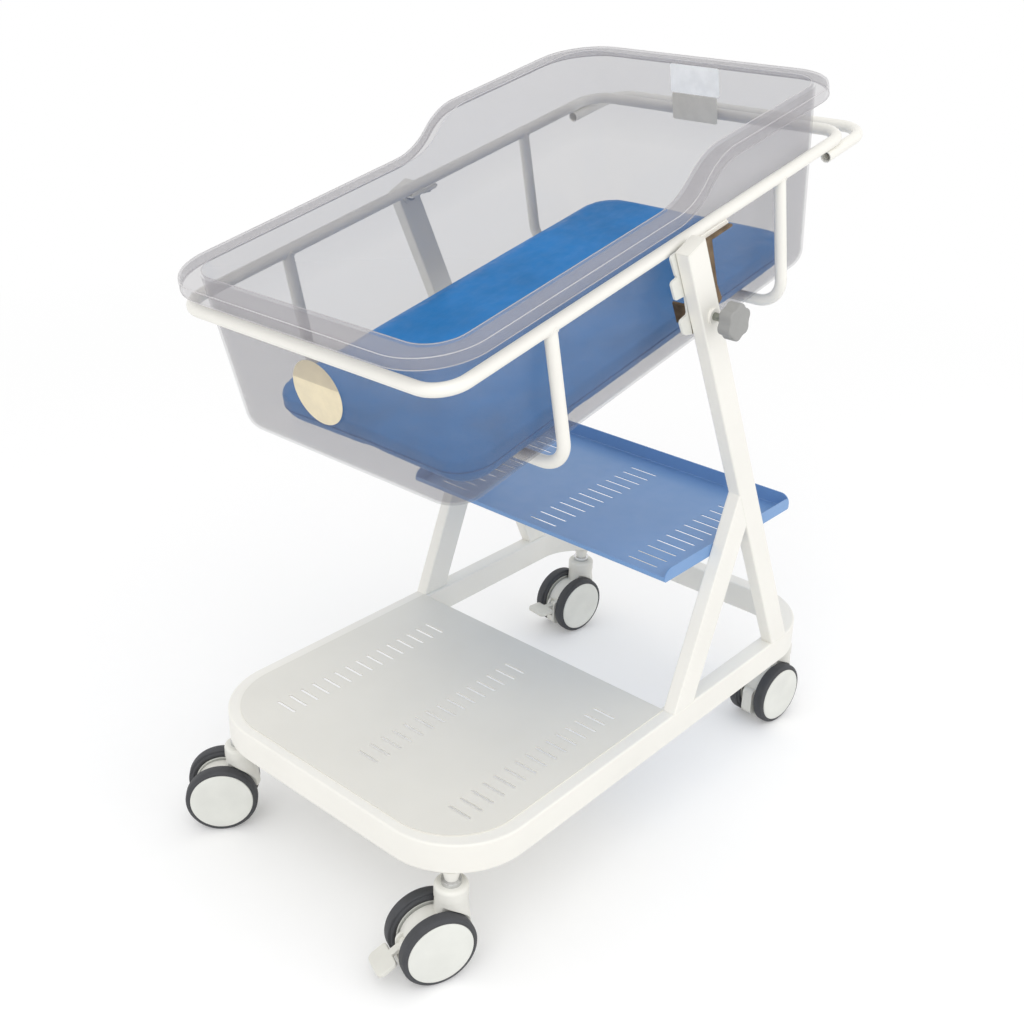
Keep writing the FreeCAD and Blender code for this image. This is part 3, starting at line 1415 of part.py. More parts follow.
def knob_outline(y):
    """Outline of the knob: round lobes joined by tangent hollows."""
    half_pitch = math.pi / KNOB_LOBES
    lobe_reach = KNOB_R - KNOB_LOBE_R
    along = lobe_reach * math.cos(half_pitch)
    hollow_r = (
        lobe_reach**2 + KNOB_VALLEY_R**2 - 2 * KNOB_VALLEY_R * along - KNOB_LOBE_R**2
    ) / (2 * (KNOB_LOBE_R + along - KNOB_VALLEY_R))

    def spot(radius, angle):
        x = STUD.x + radius * math.cos(angle)
        return Vector(x, y, STUD.z + radius * math.sin(angle))

    edges = []
    for i in range(KNOB_LOBES):
        lobe_angle = math.radians(POST_LEAN) + 2 * half_pitch * i
        valley_angle = lobe_angle + half_pitch
        lobe = spot(lobe_reach, lobe_angle)
        next_lobe = spot(lobe_reach, lobe_angle + 2 * half_pitch)
        last_lobe_hollow = spot(KNOB_VALLEY_R + hollow_r, lobe_angle - half_pitch)
        hollow = spot(KNOB_VALLEY_R + hollow_r, valley_angle)
        start = lobe + (last_lobe_hollow - lobe).normalize() * KNOB_LOBE_R
        end = lobe + (hollow - lobe).normalize() * KNOB_LOBE_R
        following = next_lobe + (hollow - next_lobe).normalize() * KNOB_LOBE_R
        edges.append(Part.Arc(start, spot(KNOB_R, lobe_angle), end).toShape())
        edges.append(Part.Arc(end, spot(KNOB_VALLEY_R, valley_angle), following).toShape())
    return Part.Wire(edges)


def clamp_knob():
    """Lobed hand knob with a short neck over the stud's end."""
    grip_face = knob_back() - KNOB_NECK
    grip = prism(knob_outline(grip_face), Vector(0, -KNOB_THICKNESS, 0))
    flat_faces = [face for face in grip.Faces if face.BoundBox.YLength < 0.01]
    rims = [edge for face in flat_faces for edge in face.Edges]
    grip = grip.makeFillet(KNOB_EDGE_R, rims)
    neck = rod_along_y(KNOB_NECK_R, STUD.x, STUD.z, grip_face, knob_back())
    stud_room = rod_along_y(STUD_R + RUNNING_FIT, STUD.x, STUD.z, grip_face, knob_back())
    return joined([grip, neck]).cut(stud_room)


# ---------------------------------------------------------------- the whole bassinet
def build():
    """Every node by name, placed on the stand with the basket at its rest tilt."""
    left_cap = mirrored_left(post_cap(LEFT_POST_DROP))
    leg = right_leg()
    pin = pivot_pin()
    right_strip = pivot_strip(STRIP_START_X, STRIP_END_X, right_screw_spots())
    left_strip = pivot_strip(LEFT_STRIP_START_X, LEFT_STRIP_END_X, left_screw_spots())
    nodes = {
        "base_frame": base_frame(),
        "storage_tray": storage_tray(),
        "right_post": right_post(),
        "left_post": left_post(),
        "right_leg": leg,
        "left_leg": mirrored_left(leg),
        "post_caps": Part.makeCompound([post_cap(), left_cap]),
        "mid_shelf": mid_shelf(),
        "shelf_screws": shelf_screws(),
        "pivot_pins": Part.makeCompound([pin, mirrored_left(pin)]),
        "knob_boss": knob_boss(),
        "clamp_plate": clamp_plate(),
        "clamp_nut": clamp_nut(),
        "clamp_stud": clamp_stud(),
        "clamp_knob": clamp_knob(),
        "tub": tilted(tub()),
        "mattress": tilted(mattress()),
        "basket_ring": tilted(basket_ring()),
        "foot_hanger": tilted(hanger(FOOT_HANGER_X)),
        "head_hanger": tilted(hanger(HEAD_HANGER_X)),
        "push_handle": tilted(push_handle()),
        "pivot_strips": tilted(Part.makeCompound([right_strip, mirrored_left(left_strip)])),
        "quadrant": tilted(quadrant()),
        "quadrant_guard": tilted(quadrant_guard()),
        "left_bracket": tilted(left_bracket()),
        "bracket_screws": tilted(bracket_screws()),
    }
    sockets = []
    stems = []
    for name in STEM_PLACES:
        braked = name in PEDAL_ANGLE
        sockets.append(on_caster(caster_socket(), name))
        stems.append(on_caster(caster_stem(), name))
        nodes[name + "_housing"] = on_caster(caster_housing(braked), name)
        nodes[name + "_axle"] = on_caster(axle(), name)
        if braked:
            nodes[name + "_pedal"] = on_caster(brake_pedal(PEDAL_ANGLE[name]), name)
        for number, side in ((1, 1), (2, -1)):
            nodes[f"{name}_tyre_{number}"] = on_caster(wheel_place(tyre(), side), name)
            nodes[f"{name}_hub_{number}"] = on_caster(wheel_place(hub(), side), name)
    nodes["caster_sockets"] = Part.makeCompound(sockets)
    nodes["caster_stems"] = Part.makeCompound(stems)
    return nodes


def origin_shift(nodes):
    """Move that puts the origin on the floor under the middle of the whole bassinet."""
    box = Part.makeCompound(list(nodes.values())).optimalBoundingBox(False, False)
    return Vector(-box.Center.x, -box.Center.y, -box.ZMin)


def main():
    """Write one STEP file for each node."""
    os.makedirs("parts", exist_ok=True)
    nodes = build()
    shift = origin_shift(nodes)
    for name, shape in nodes.items():
        placed = shape.copy()
        placed.translate(shift)
        placed.exportStep(f"parts/{name}.step")


if __name__ == "__main__":
    main()
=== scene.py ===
"""Hospital bassinet: finishes, mattress, labels, wheels, weld beads, floor, lights and camera."""

import logging
import math
from dataclasses import dataclass, field
from enum import Enum

import bmesh
import bpy
from mathutils import Matrix, Vector
from mathutils.bvhtree import BVHTree


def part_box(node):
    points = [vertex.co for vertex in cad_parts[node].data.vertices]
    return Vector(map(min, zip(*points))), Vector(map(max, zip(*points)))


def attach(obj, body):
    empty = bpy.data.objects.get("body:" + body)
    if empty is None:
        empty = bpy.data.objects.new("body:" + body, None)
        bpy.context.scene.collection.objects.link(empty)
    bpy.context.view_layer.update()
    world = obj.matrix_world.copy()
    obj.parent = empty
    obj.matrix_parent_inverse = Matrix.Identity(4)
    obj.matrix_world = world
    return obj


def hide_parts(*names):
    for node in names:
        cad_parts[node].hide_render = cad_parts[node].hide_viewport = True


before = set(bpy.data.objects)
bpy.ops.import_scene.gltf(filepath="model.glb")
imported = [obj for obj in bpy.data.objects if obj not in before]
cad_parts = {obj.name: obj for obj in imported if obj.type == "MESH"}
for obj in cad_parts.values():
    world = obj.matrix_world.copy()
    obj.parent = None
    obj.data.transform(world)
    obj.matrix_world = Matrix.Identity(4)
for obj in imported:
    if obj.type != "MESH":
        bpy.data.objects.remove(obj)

log = logging.getLogger("bassinet")

Colour = tuple[float, float, float]

# The standard screen curve between display colours and linear ones.
DISPLAY_MAX = 255.0
SCREEN_TOE = 0.04045
SCREEN_TOE_SLOPE = 12.92
SCREEN_OFFSET = 0.055
SCREEN_GAMMA = 2.4

SAME_LENGTH = 1e-6  # metres under which two places count as one
BEAD_ROUNDNESS = 3  # how finely a bead's section is drawn
BEAD_SHARP = 60.0  # degrees
WHEEL_SHARP = 28.0  # degrees
SEAM_SHARP = 80.0  # degrees
NEVER_SHARP = 180.0  # degrees
RIM_CORNER_STEPS = 16  # steps round each corner of the tub's rim
RIM_SPACING = 0.006  # metres between points along the rim
ROUND_STEPS = 96  # facets round a disc


def linear(colour: Colour) -> tuple[float, float, float, float]:
    """Turn a display colour of 0 to 255 into the linear one that shaders take.

    Args:
        colour: Red, green and blue as a screen shows them.

    Returns:
        Linear red, green and blue, with an alpha of 1.
    """
    shares = [part / DISPLAY_MAX for part in colour]
    low = [share / SCREEN_TOE_SLOPE for share in shares]
    high = [((share + SCREEN_OFFSET) / (1 + SCREEN_OFFSET)) ** SCREEN_GAMMA for share in shares]
    mixed = [a if share <= SCREEN_TOE else b for share, a, b in zip(shares, low, high)]
    return (mixed[0], mixed[1], mixed[2], 1.0)


def tinted(colour: Colour, factor: float) -> Colour:
    """The display colour made darker or lighter by a factor."""
    return tuple(min(DISPLAY_MAX, part * factor) for part in colour)


# ---------------------------------------------------------------- finishes
class ShaderTree:
    """A material's node tree, with short calls for the nodes that the finishes share."""

    def __init__(self, name: str) -> None:
        """Start a material with a Principled surface.

        Args:
            name: The material's name.
        """
        self.material = bpy.data.materials.new(name)
        self.material.use_nodes = True
        self.nodes = self.material.node_tree.nodes
        self.links = self.material.node_tree.links
        self.nodes.clear()
        self.output = self.nodes.new("ShaderNodeOutputMaterial")
        self.surface = self.nodes.new("ShaderNodeBsdfPrincipled")
        self.links.new(self.surface.outputs["BSDF"], self.output.inputs["Surface"])
        self.place = self.nodes.new("ShaderNodeTexCoord").outputs["Object"]

    def set(self, **values: float | tuple[float, ...]) -> None:
        """Set constants on the surface's own sockets, an underscore standing for a space.

        Args:
            **values: Socket names and their values.
        """
        for name, value in values.items():
            self.surface.inputs[name.replace("_", " ")].default_value = value

    def feed(self, source: bpy.types.NodeSocket, name: str) -> None:
        """Link a socket to one of the surface's inputs."""
        self.links.new(source, self.surface.inputs[name])

    def noise(
        self,
        scale: float,
        detail: float = 2.0,
        roughness: float = 0.5,
        stretch: tuple[float, float, float] = (1.0, 1.0, 1.0),
    ) -> bpy.types.NodeSocket:
        """A noise pattern in the object's own coordinates.

        Args:
            scale: Features per metre, roughly.
            detail: Octaves of finer noise.
            roughness: How strong the finer octaves are.
            stretch: Scale of the coordinates along X, Y and Z.

        Returns:
            The noise's factor.
        """
        mapping = self.nodes.new("ShaderNodeMapping")
        mapping.inputs["Scale"].default_value = stretch
        self.links.new(self.place, mapping.inputs["Vector"])
        node = self.nodes.new("ShaderNodeTexNoise")
        node.inputs["Scale"].default_value = scale
        node.inputs["Detail"].default_value = detail
        node.inputs["Roughness"].default_value = roughness
        self.links.new(mapping.outputs["Vector"], node.inputs["Vector"])
        return node.outputs["Fac"]

    def cells(self, scale: float) -> bpy.types.NodeSocket:
        """Distance pattern of small cells, as in grained covers."""
        node = self.nodes.new("ShaderNodeTexVoronoi")
        node.inputs["Scale"].default_value = scale
        self.links.new(self.place, node.inputs["Vector"])
        return node.outputs["Distance"]

    def span(
        self,
        source: bpy.types.NodeSocket,
        low: float,
        high: float,
        start: float = 0.3,
        end: float = 0.7,
    ) -> bpy.types.NodeSocket:
        """Map a factor onto a range.

        Args:
            source: The factor.
            low: Result at the start.
            high: Result at the end.
            start: Factor that gives low.
            end: Factor that gives high.

        Returns:
            The mapped value.
        """
        node = self.nodes.new("ShaderNodeMapRange")
        node.inputs["From Min"].default_value = start
        node.inputs["From Max"].default_value = end
        node.inputs["To Min"].default_value = low
        node.inputs["To Max"].default_value = high
        self.links.new(source, node.inputs["Value"])
        return node.outputs["Result"]

    def shades(
        self, source: bpy.types.NodeSocket, first: Colour, second: Colour
    ) -> bpy.types.NodeSocket:
        """Blend between two display colours by a factor.

        Args:
            source: The factor.
            first: Colour at 0.35 and below.
            second: Colour at 0.65 and above.

        Returns:
            The blended colour.
        """
        node = self.nodes.new("ShaderNodeValToRGB")
        node.color_ramp.elements[0].position = 0.35
        node.color_ramp.elements[1].position = 0.65
        node.color_ramp.elements[0].color = linear(first)
        node.color_ramp.elements[1].color = linear(second)
        self.links.new(source, node.inputs["Fac"])
        return node.outputs["Color"]

    def height(self, up: tuple[float, float, float]) -> bpy.types.NodeSocket:
        """How far a point lies along a slanted upward direction, in metres."""
        node = self.nodes.new("ShaderNodeVectorMath")
        node.operation = "DOT_PRODUCT"
        self.links.new(self.place, node.inputs[0])
        node.inputs[1].default_value = up
        return node.outputs["Value"]

    def mixed(
        self, factor: bpy.types.NodeSocket, base: bpy.types.NodeSocket, colour: Colour
    ) -> bpy.types.NodeSocket:
        """Blend a display colour over another by a factor.

        Args:
            factor: 0 for the base, 1 for the colour.
            base: The colour below.
            colour: The colour above.

        Returns:
            The blended colour.
        """
        node = self.nodes.new("ShaderNodeMix")
        node.data_type = "RGBA"
        self.links.new(factor, node.inputs[0])
        self.links.new(base, node.inputs[6])
        node.inputs[7].default_value = linear(colour)
        return node.outputs[2]

    def bump(
        self,
        height: bpy.types.NodeSocket,
        depth: float,
        strength: float = 1.0,
        under: bpy.types.NodeSocket | None = None,
    ) -> bpy.types.NodeSocket:
        """Raise the surface by a height pattern.

        Args:
            height: The pattern.
            depth: Height of a full step, in metres.
            strength: Share of the effect.
            under: Normal of a coarser bump below this one.

        Returns:
            The bumped normal.
        """
        node = self.nodes.new("ShaderNodeBump")
        node.inputs["Distance"].default_value = depth
        node.inputs["Strength"].default_value = strength
        self.links.new(height, node.inputs["Height"])
        if under is not None:
            self.links.new(under, node.inputs["Normal"])
        return node.outputs["Normal"]


class Finish:
    """A surface finish. Each one makes its material once and keeps it."""

    name: str
    made: dict[str, bpy.types.Material] = {}

    def material(self) -> bpy.types.Material:
        """The finish's material, made on its first use."""
        if self.name not in Finish.made:
            tree = ShaderTree(self.name)
            self.paint(tree)
            Finish.made[self.name] = tree.material
        return Finish.made[self.name]

    def paint(self, tree: ShaderTree) -> None:
        """Fill the node tree."""
        raise NotImplementedError


@dataclass(frozen=True)
class PowderCoat(Finish):
    """Baked powder paint with a faint orange peel."""

    name: str
    colour: Colour
    gloss: float = 0.42
    peel: float = 0.00012

    def paint(self, tree: ShaderTree) -> None:
        """Fill the node tree."""
        broad = tree.noise(scale=7.0, detail=3.0)
        tree.feed(tree.shades(broad, tinted(self.colour, 0.985), self.colour), "Base Color")
        dullness = tree.span(tree.noise(scale=45.0), self.gloss - 0.05, self.gloss + 0.06)
        tree.feed(dullness, "Roughness")
        peel = tree.bump(tree.noise(scale=420.0), depth=self.peel, strength=0.35)
        tree.feed(peel, "Normal")
        tree.set(Specular_IOR_Level=0.45, Coat_Weight=0.15, Coat_Roughness=0.25)


@dataclass(frozen=True)
class MouldedPlastic(Finish):
    """Injection moulded plastic with a fine sparked grain."""

    name: str
    colour: Colour
    gloss: float = 0.45
    grain: float = 0.00008

    def paint(self, tree: ShaderTree) -> None:
        """Fill the node tree."""
        broad = tree.noise(scale=22.0, detail=3.0)
        tree.feed(tree.shades(broad, tinted(self.colour, 0.97), self.colour), "Base Color")
        dullness = tree.span(tree.noise(scale=130.0), self.gloss - 0.06, self.gloss + 0.08)
        tree.feed(dullness, "Roughness")
        grain = tree.noise(scale=1900.0, detail=1.0)
        tree.feed(tree.bump(grain, depth=self.grain, strength=0.4), "Normal")


@dataclass(frozen=True)
class ClearShell(Finish):
    """Milky moulded sheet that what lies behind shows through, milkier up at its thick rim.

    Both heights are in metres along up, the tilted basket's own upward direction.
    """

    name: str
    colour: Colour
    opacity: float
    rim_colour: Colour
    rim_opacity: float
    up: tuple[float, float, float] = (-0.2171, 0.0, 0.9761)
    clear_height: float = 0.785
    milky_height: float = 0.850

    def paint(self, tree: ShaderTree) -> None:
        """Fill the node tree."""
        height = tree.height(self.up)
        milky = tree.span(height, 0.0, 1.0, self.clear_height, self.milky_height)
        clear = tree.shades(tree.noise(scale=3.0), tinted(self.colour, 0.975), self.colour)
        tree.feed(tree.mixed(milky, clear, self.rim_colour), "Base Color")
        tree.feed(tree.span(milky, self.opacity, self.rim_opacity, 0.0, 1.0), "Alpha")
        tree.feed(tree.span(tree.noise(scale=9.0), low=0.12, high=0.2), "Roughness")
        tree.feed(tree.bump(tree.noise(scale=11.0), depth=0.0012, strength=0.12), "Normal")
        tree.set(IOR=1.5, Specular_IOR_Level=0.5)


@dataclass(frozen=True)
class VinylCover(Finish):
    """Soft coated cover cloth with fine grain and drawn-in creases."""

    name: str
    colour: Colour

    def paint(self, tree: ShaderTree) -> None:
        """Fill the node tree."""
        broad = tree.noise(scale=9.0, detail=4.0, roughness=0.6)
        tree.feed(tree.shades(broad, tinted(self.colour, 0.9), self.colour), "Base Color")
        dullness = tree.span(tree.noise(scale=60.0, detail=3.0), low=0.38, high=0.52)
        tree.feed(dullness, "Roughness")
        folds = tree.noise(scale=16.0, detail=3.0, roughness=0.55, stretch=(1.0, 2.2, 1.0))
        creases = tree.bump(folds, depth=0.0035, strength=0.35)
        grain = tree.bump(tree.cells(900.0), depth=0.00015, strength=0.45, under=creases)
        tree.feed(grain, "Normal")
        tree.set(Sheen_Weight=0.03, Sheen_Roughness=0.4, Specular_IOR_Level=0.35)


@dataclass(frozen=True)
class Rubber(Finish):
    """Moulded tyre rubber, a little dusty."""

    name: str
    colour: Colour

    def paint(self, tree: ShaderTree) -> None:
        """Fill the node tree."""
        dust = tree.noise(scale=38.0, detail=5.0, roughness=0.65)
        tree.feed(tree.shades(dust, self.colour, tinted(self.colour, 1.18)), "Base Color")
        tree.feed(tree.span(dust, low=0.5, high=0.72), "Roughness")
        tree.feed(tree.bump(tree.noise(scale=1300.0), depth=0.0001, strength=0.5), "Normal")


@dataclass(frozen=True)
class PlatedSteel(Finish):
    """Plated steel: zinc, passivated zinc or chrome, by its colour and gloss."""

    name: str
    colour: Colour
    second: Colour
    gloss: float
    metal: float = 1.0

    def paint(self, tree: ShaderTree) -> None:
        """Fill the node tree."""
        stains = tree.noise(scale=60.0, detail=4.0, roughness=0.6)
        tree.feed(tree.shades(stains, self.colour, self.second), "Base Color")
        scuffs = tree.noise(scale=240.0, detail=3.0)
        tree.feed(tree.span(scuffs, self.gloss - 0.06, self.gloss + 0.1), "Roughness")
        tree.feed(tree.bump(tree.noise(scale=900.0), depth=0.00006, strength=0.4), "Normal")
        tree.set(Metallic=self.metal)


@dataclass(frozen=True)
class LabelFilm(Finish):
    """Printed-label stock with no print, a little scuffed."""

    name: str
    colour: Colour
    gloss: float = 0.4
    metal: float = 0.0

    def paint(self, tree: ShaderTree) -> None:
        """Fill the node tree."""
        scuffs = tree.noise(scale=55.0, detail=4.0, roughness=0.6)
        tree.feed(tree.shades(scuffs, tinted(self.colour, 0.96), self.colour), "Base Color")
        tree.feed(tree.span(scuffs, self.gloss, self.gloss + 0.15), "Roughness")
        tree.feed(tree.bump(tree.noise(scale=700.0), depth=0.00004, strength=0.4), "Normal")
        tree.set(Metallic=self.metal)


class Finishes:
    """The finishes that this bassinet uses."""

    FRAME = PowderCoat("frame_powder_coat", (242, 240, 233))
    TRAY = PowderCoat("tray_powder_coat", (229, 227, 219), 0.48)
    SHELF = PowderCoat("shelf_blue_powder_coat", (118, 158, 208), 0.4)
    GUARD = PowderCoat("guard_powder_coat", (232, 232, 226), 0.45)
    CAP = MouldedPlastic("post_cap_plastic", (236, 234, 226), 0.5)
    HOUSING = MouldedPlastic("caster_housing_plastic", (232, 231, 224), 0.42)
    HUB = MouldedPlastic("caster_hub_plastic", (231, 232, 226), 0.38)
    PEDAL = MouldedPlastic("brake_pedal_plastic", (226, 225, 217), 0.48)
    KNOB = MouldedPlastic("knob_plastic", (158, 158, 156), 0.55, 0.00012)
    TYRE = Rubber("tyre_rubber", (58, 59, 62))
    ZINC = PlatedSteel("zinc_plate", (168, 170, 168), (196, 198, 196), 0.34)
    STUD = PlatedSteel("stud_zinc", (128, 132, 124), (158, 160, 150), 0.4)
    CLAMP = PlatedSteel("clamp_passivated_zinc", (92, 74, 54), (124, 104, 80), 0.42, 0.75)
    CHROME = PlatedSteel("stem_chrome", (196, 197, 198), (218, 219, 220), 0.16)
    TUB = ClearShell("tub_clear_shell", (126, 122, 128), 0.21, (166, 163, 167), 0.3)
    # Paler and less clear than the shell: a painted highlight for the rim's edges.
    TUB_EDGE_HIGHLIGHT = ClearShell("tub_edge_painted_highlight", (222, 219, 220), 0.45, (226, 223, 224), 0.5)
    COVER = VinylCover("mattress_vinyl", (4, 122, 196))
    SEAM = VinylCover("mattress_seam_vinyl", (6, 102, 170))
    STICKER = LabelFilm("sticker_film", (234, 221, 190))
    WHITE_LABEL = LabelFilm("white_label_film", (251, 250, 247), 0.35)
    SILVER_LABEL = LabelFilm("silver_label_film", (206, 201, 192), 0.36, 0.15)


def dress(finish: Finish, *nodes: str) -> None:
    """Give CAD nodes a finish.

    Args:
        finish: The finish.
        *nodes: The nodes' names.
    """
    for name in nodes:
        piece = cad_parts[name]
        if not piece.material_slots:
            piece.data.materials.append(None)
        for slot in piece.material_slots:
            slot.material = finish.material()
        log.info("dressed %s in %s", name, finish.name)


def linked(name: str, data: bpy.types.ID) -> bpy.types.Object:
    """A new object in the scene that shows the data."""
    holder = bpy.data.objects.new(name, data)
    bpy.context.scene.collection.objects.link(holder)
    return holder


def transform(shape: bmesh.types.BMesh, matrix: Matrix) -> None:
    """Move, turn or scale a whole shape."""
    bmesh.ops.transform(shape, matrix=matrix, verts=shape.verts)


def bevel(
    shape: bmesh.types.BMesh, edges: list[bmesh.types.BMEdge], offset: float, segments: int
) -> None:
    """Round some edges of a shape.

    Args:
        shape: The shape.
        edges: The edges.
        offset: The rounding's size, in metres.
        segments: Facets across the rounding.
    """
    bmesh.ops.bevel(
        shape,
        geom=edges,
        offset=offset,
        segments=segments,
        profile=0.5,
        affect="EDGES",
        material=-1,
    )


def finished_piece(
    name: str,
    shape: bmesh.types.BMesh,
    finish: Finish,
    body: str,
    sharp_angle: float = 35.0,
) -> bpy.types.Object:
    """Turn a bmesh into a piece that rides on a body.

    Args:
        name: The piece's name.
        shape: Its bmesh, in its final place; it is freed.
        finish: Its finish.
        body: The body it rides on.
        sharp_angle: Edges sharper than this, in degrees, stay sharp.

    Returns:
        The piece's object.
    """
    mesh = bpy.data.meshes.new(name)
    shape.to_mesh(mesh)
    shape.free()
    mesh.shade_smooth()
    mesh.set_sharp_from_angle(angle=math.radians(sharp_angle))
    piece = linked(name, mesh)
    mesh.materials.append(finish.material())
    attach(piece, body)
    log.info("built %s: %d faces", name, len(mesh.polygons))
    return piece


def centre_of(node: str) -> Vector:
    """The middle of a CAD node's box at rest."""
    low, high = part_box(node)
    return (low + high) / 2


def polygon_ring(shape: bmesh.types.BMesh, points: list[Vector]) -> list[bmesh.types.BMEdge]:
    """Join a few points into a closed loop of edges.

    Args:
        shape: The bmesh that takes them.
        points: The loop's corners.

    Returns:
        The loop's edges.
    """
    corners = [shape.verts.new(point) for point in points]
    return [shape.edges.new((a, b)) for a, b in zip(corners, corners[1:] + corners[:1])]


def turned(points: list[tuple[float, float]], steps: int) -> bmesh.types.BMesh:
    """Spin a closed section round the Y axis.

    Args:
        points: The section as (radius, y) pairs.
        steps: Facets round the axis.

    Returns:
        The closed shape, its faces outward.
    """
    shape = bmesh.new()
    edges = polygon_ring(shape, [Vector((radius, y, 0.0)) for radius, y in points])
    bmesh.ops.spin(
        shape,
        geom=list(shape.verts) + edges,
        cent=(0.0, 0.0, 0.0),
        axis=(0.0, 1.0, 0.0),
        angle=math.tau,
        steps=steps,
        use_merge=True,
        use_duplicate=False,
    )
    bmesh.ops.remove_doubles(shape, verts=shape.verts, dist=SAME_LENGTH)
    bmesh.ops.recalc_face_normals(shape, faces=shape.faces)
    return shape


def swept(
    points: list[Vector], radius: float, closed: bool = True, ripple: float = 0.0
) -> bmesh.types.BMesh:
    """Draw a round bead along a line of points.

    Args:
        points: The line.
        radius: The bead's radius.
        closed: Whether the line comes back to its start.
        ripple: Share by which every other point is thicker or thinner.

    Returns:
        The closed bead, its faces outward.
    """
    curve = bpy.data.curves.new("bead_line", "CURVE")
    curve.dimensions = "3D"
    curve.bevel_depth = radius
    curve.bevel_resolution = BEAD_ROUNDNESS
    curve.use_fill_caps = True
    spline = curve.splines.new("POLY")
    spline.points.add(len(points) - 1)
    for number, (spot, point) in enumerate(zip(spline.points, points)):
        spot.co = (*point, 1.0)
        spot.radius = 1.0 + ripple * (1 if number % 2 else -1)
    spline.use_cyclic_u = closed
    holder = linked("bead_line", curve)
    depsgraph = bpy.context.evaluated_depsgraph_get()
    tube = bpy.data.meshes.new_from_object(holder.evaluated_get(depsgraph))
    bpy.data.objects.remove(holder)
    shape = bmesh.new()
    shape.from_mesh(tube)
    bmesh.ops.remove_doubles(shape, verts=shape.verts, dist=SAME_LENGTH)
    bmesh.ops.recalc_face_normals(shape, faces=shape.faces)
    return shape


def between(start: Vector, end: Vector, count: int) -> list[Vector]:
    """Evenly spaced points from one point to another, both kept."""
    return [start.lerp(end, i / (count - 1)) for i in range(count)]


# ---------------------------------------------------------------- where things are
@dataclass
class BasketPlace:
    """The basket's own level frame, whose origin is on the ring tube's axis."""

    tilt_degrees: float = 12.54
    pivot_below_ring: float = 0.014
    matrix: Matrix = field(init=False)

    def __post_init__(self) -> None:
        """Work out where the level frame stands at rest."""
        turn = Matrix.Rotation(math.radians(-self.tilt_degrees), 4, "Y")
        pivot = centre_of("pivot_pins")
        origin = pivot + turn @ Vector((0.0, 0.0, self.pivot_below_ring))
        self.matrix = Matrix.Translation(origin) @ turn

    def settle(self, shape: bmesh.types.BMesh) -> None:
        """Move a shape drawn level to its tilted place."""
        transform(shape, self.matrix)


# ---------------------------------------------------------------- sub-assemblies
class Stand:
    """Base ring, side frames, tray and shelf."""

    def build(self) -> None:
        """Dress the stand's nodes."""
        dress(
            Finishes.FRAME,
            "base_frame",
            "right_post",
            "left_post",
            "right_leg",
            "left_leg",
            "knob_boss",
            "caster_sockets",
        )
        dress(Finishes.CAP, "post_caps")
        dress(Finishes.TRAY, "storage_tray")
        dress(Finishes.SHELF, "mid_shelf")
        dress(Finishes.ZINC, "shelf_screws")


class Brake(Enum):
    """Whether a caster has a brake pedal."""

    NONE = "none"
    PEDAL = "pedal"


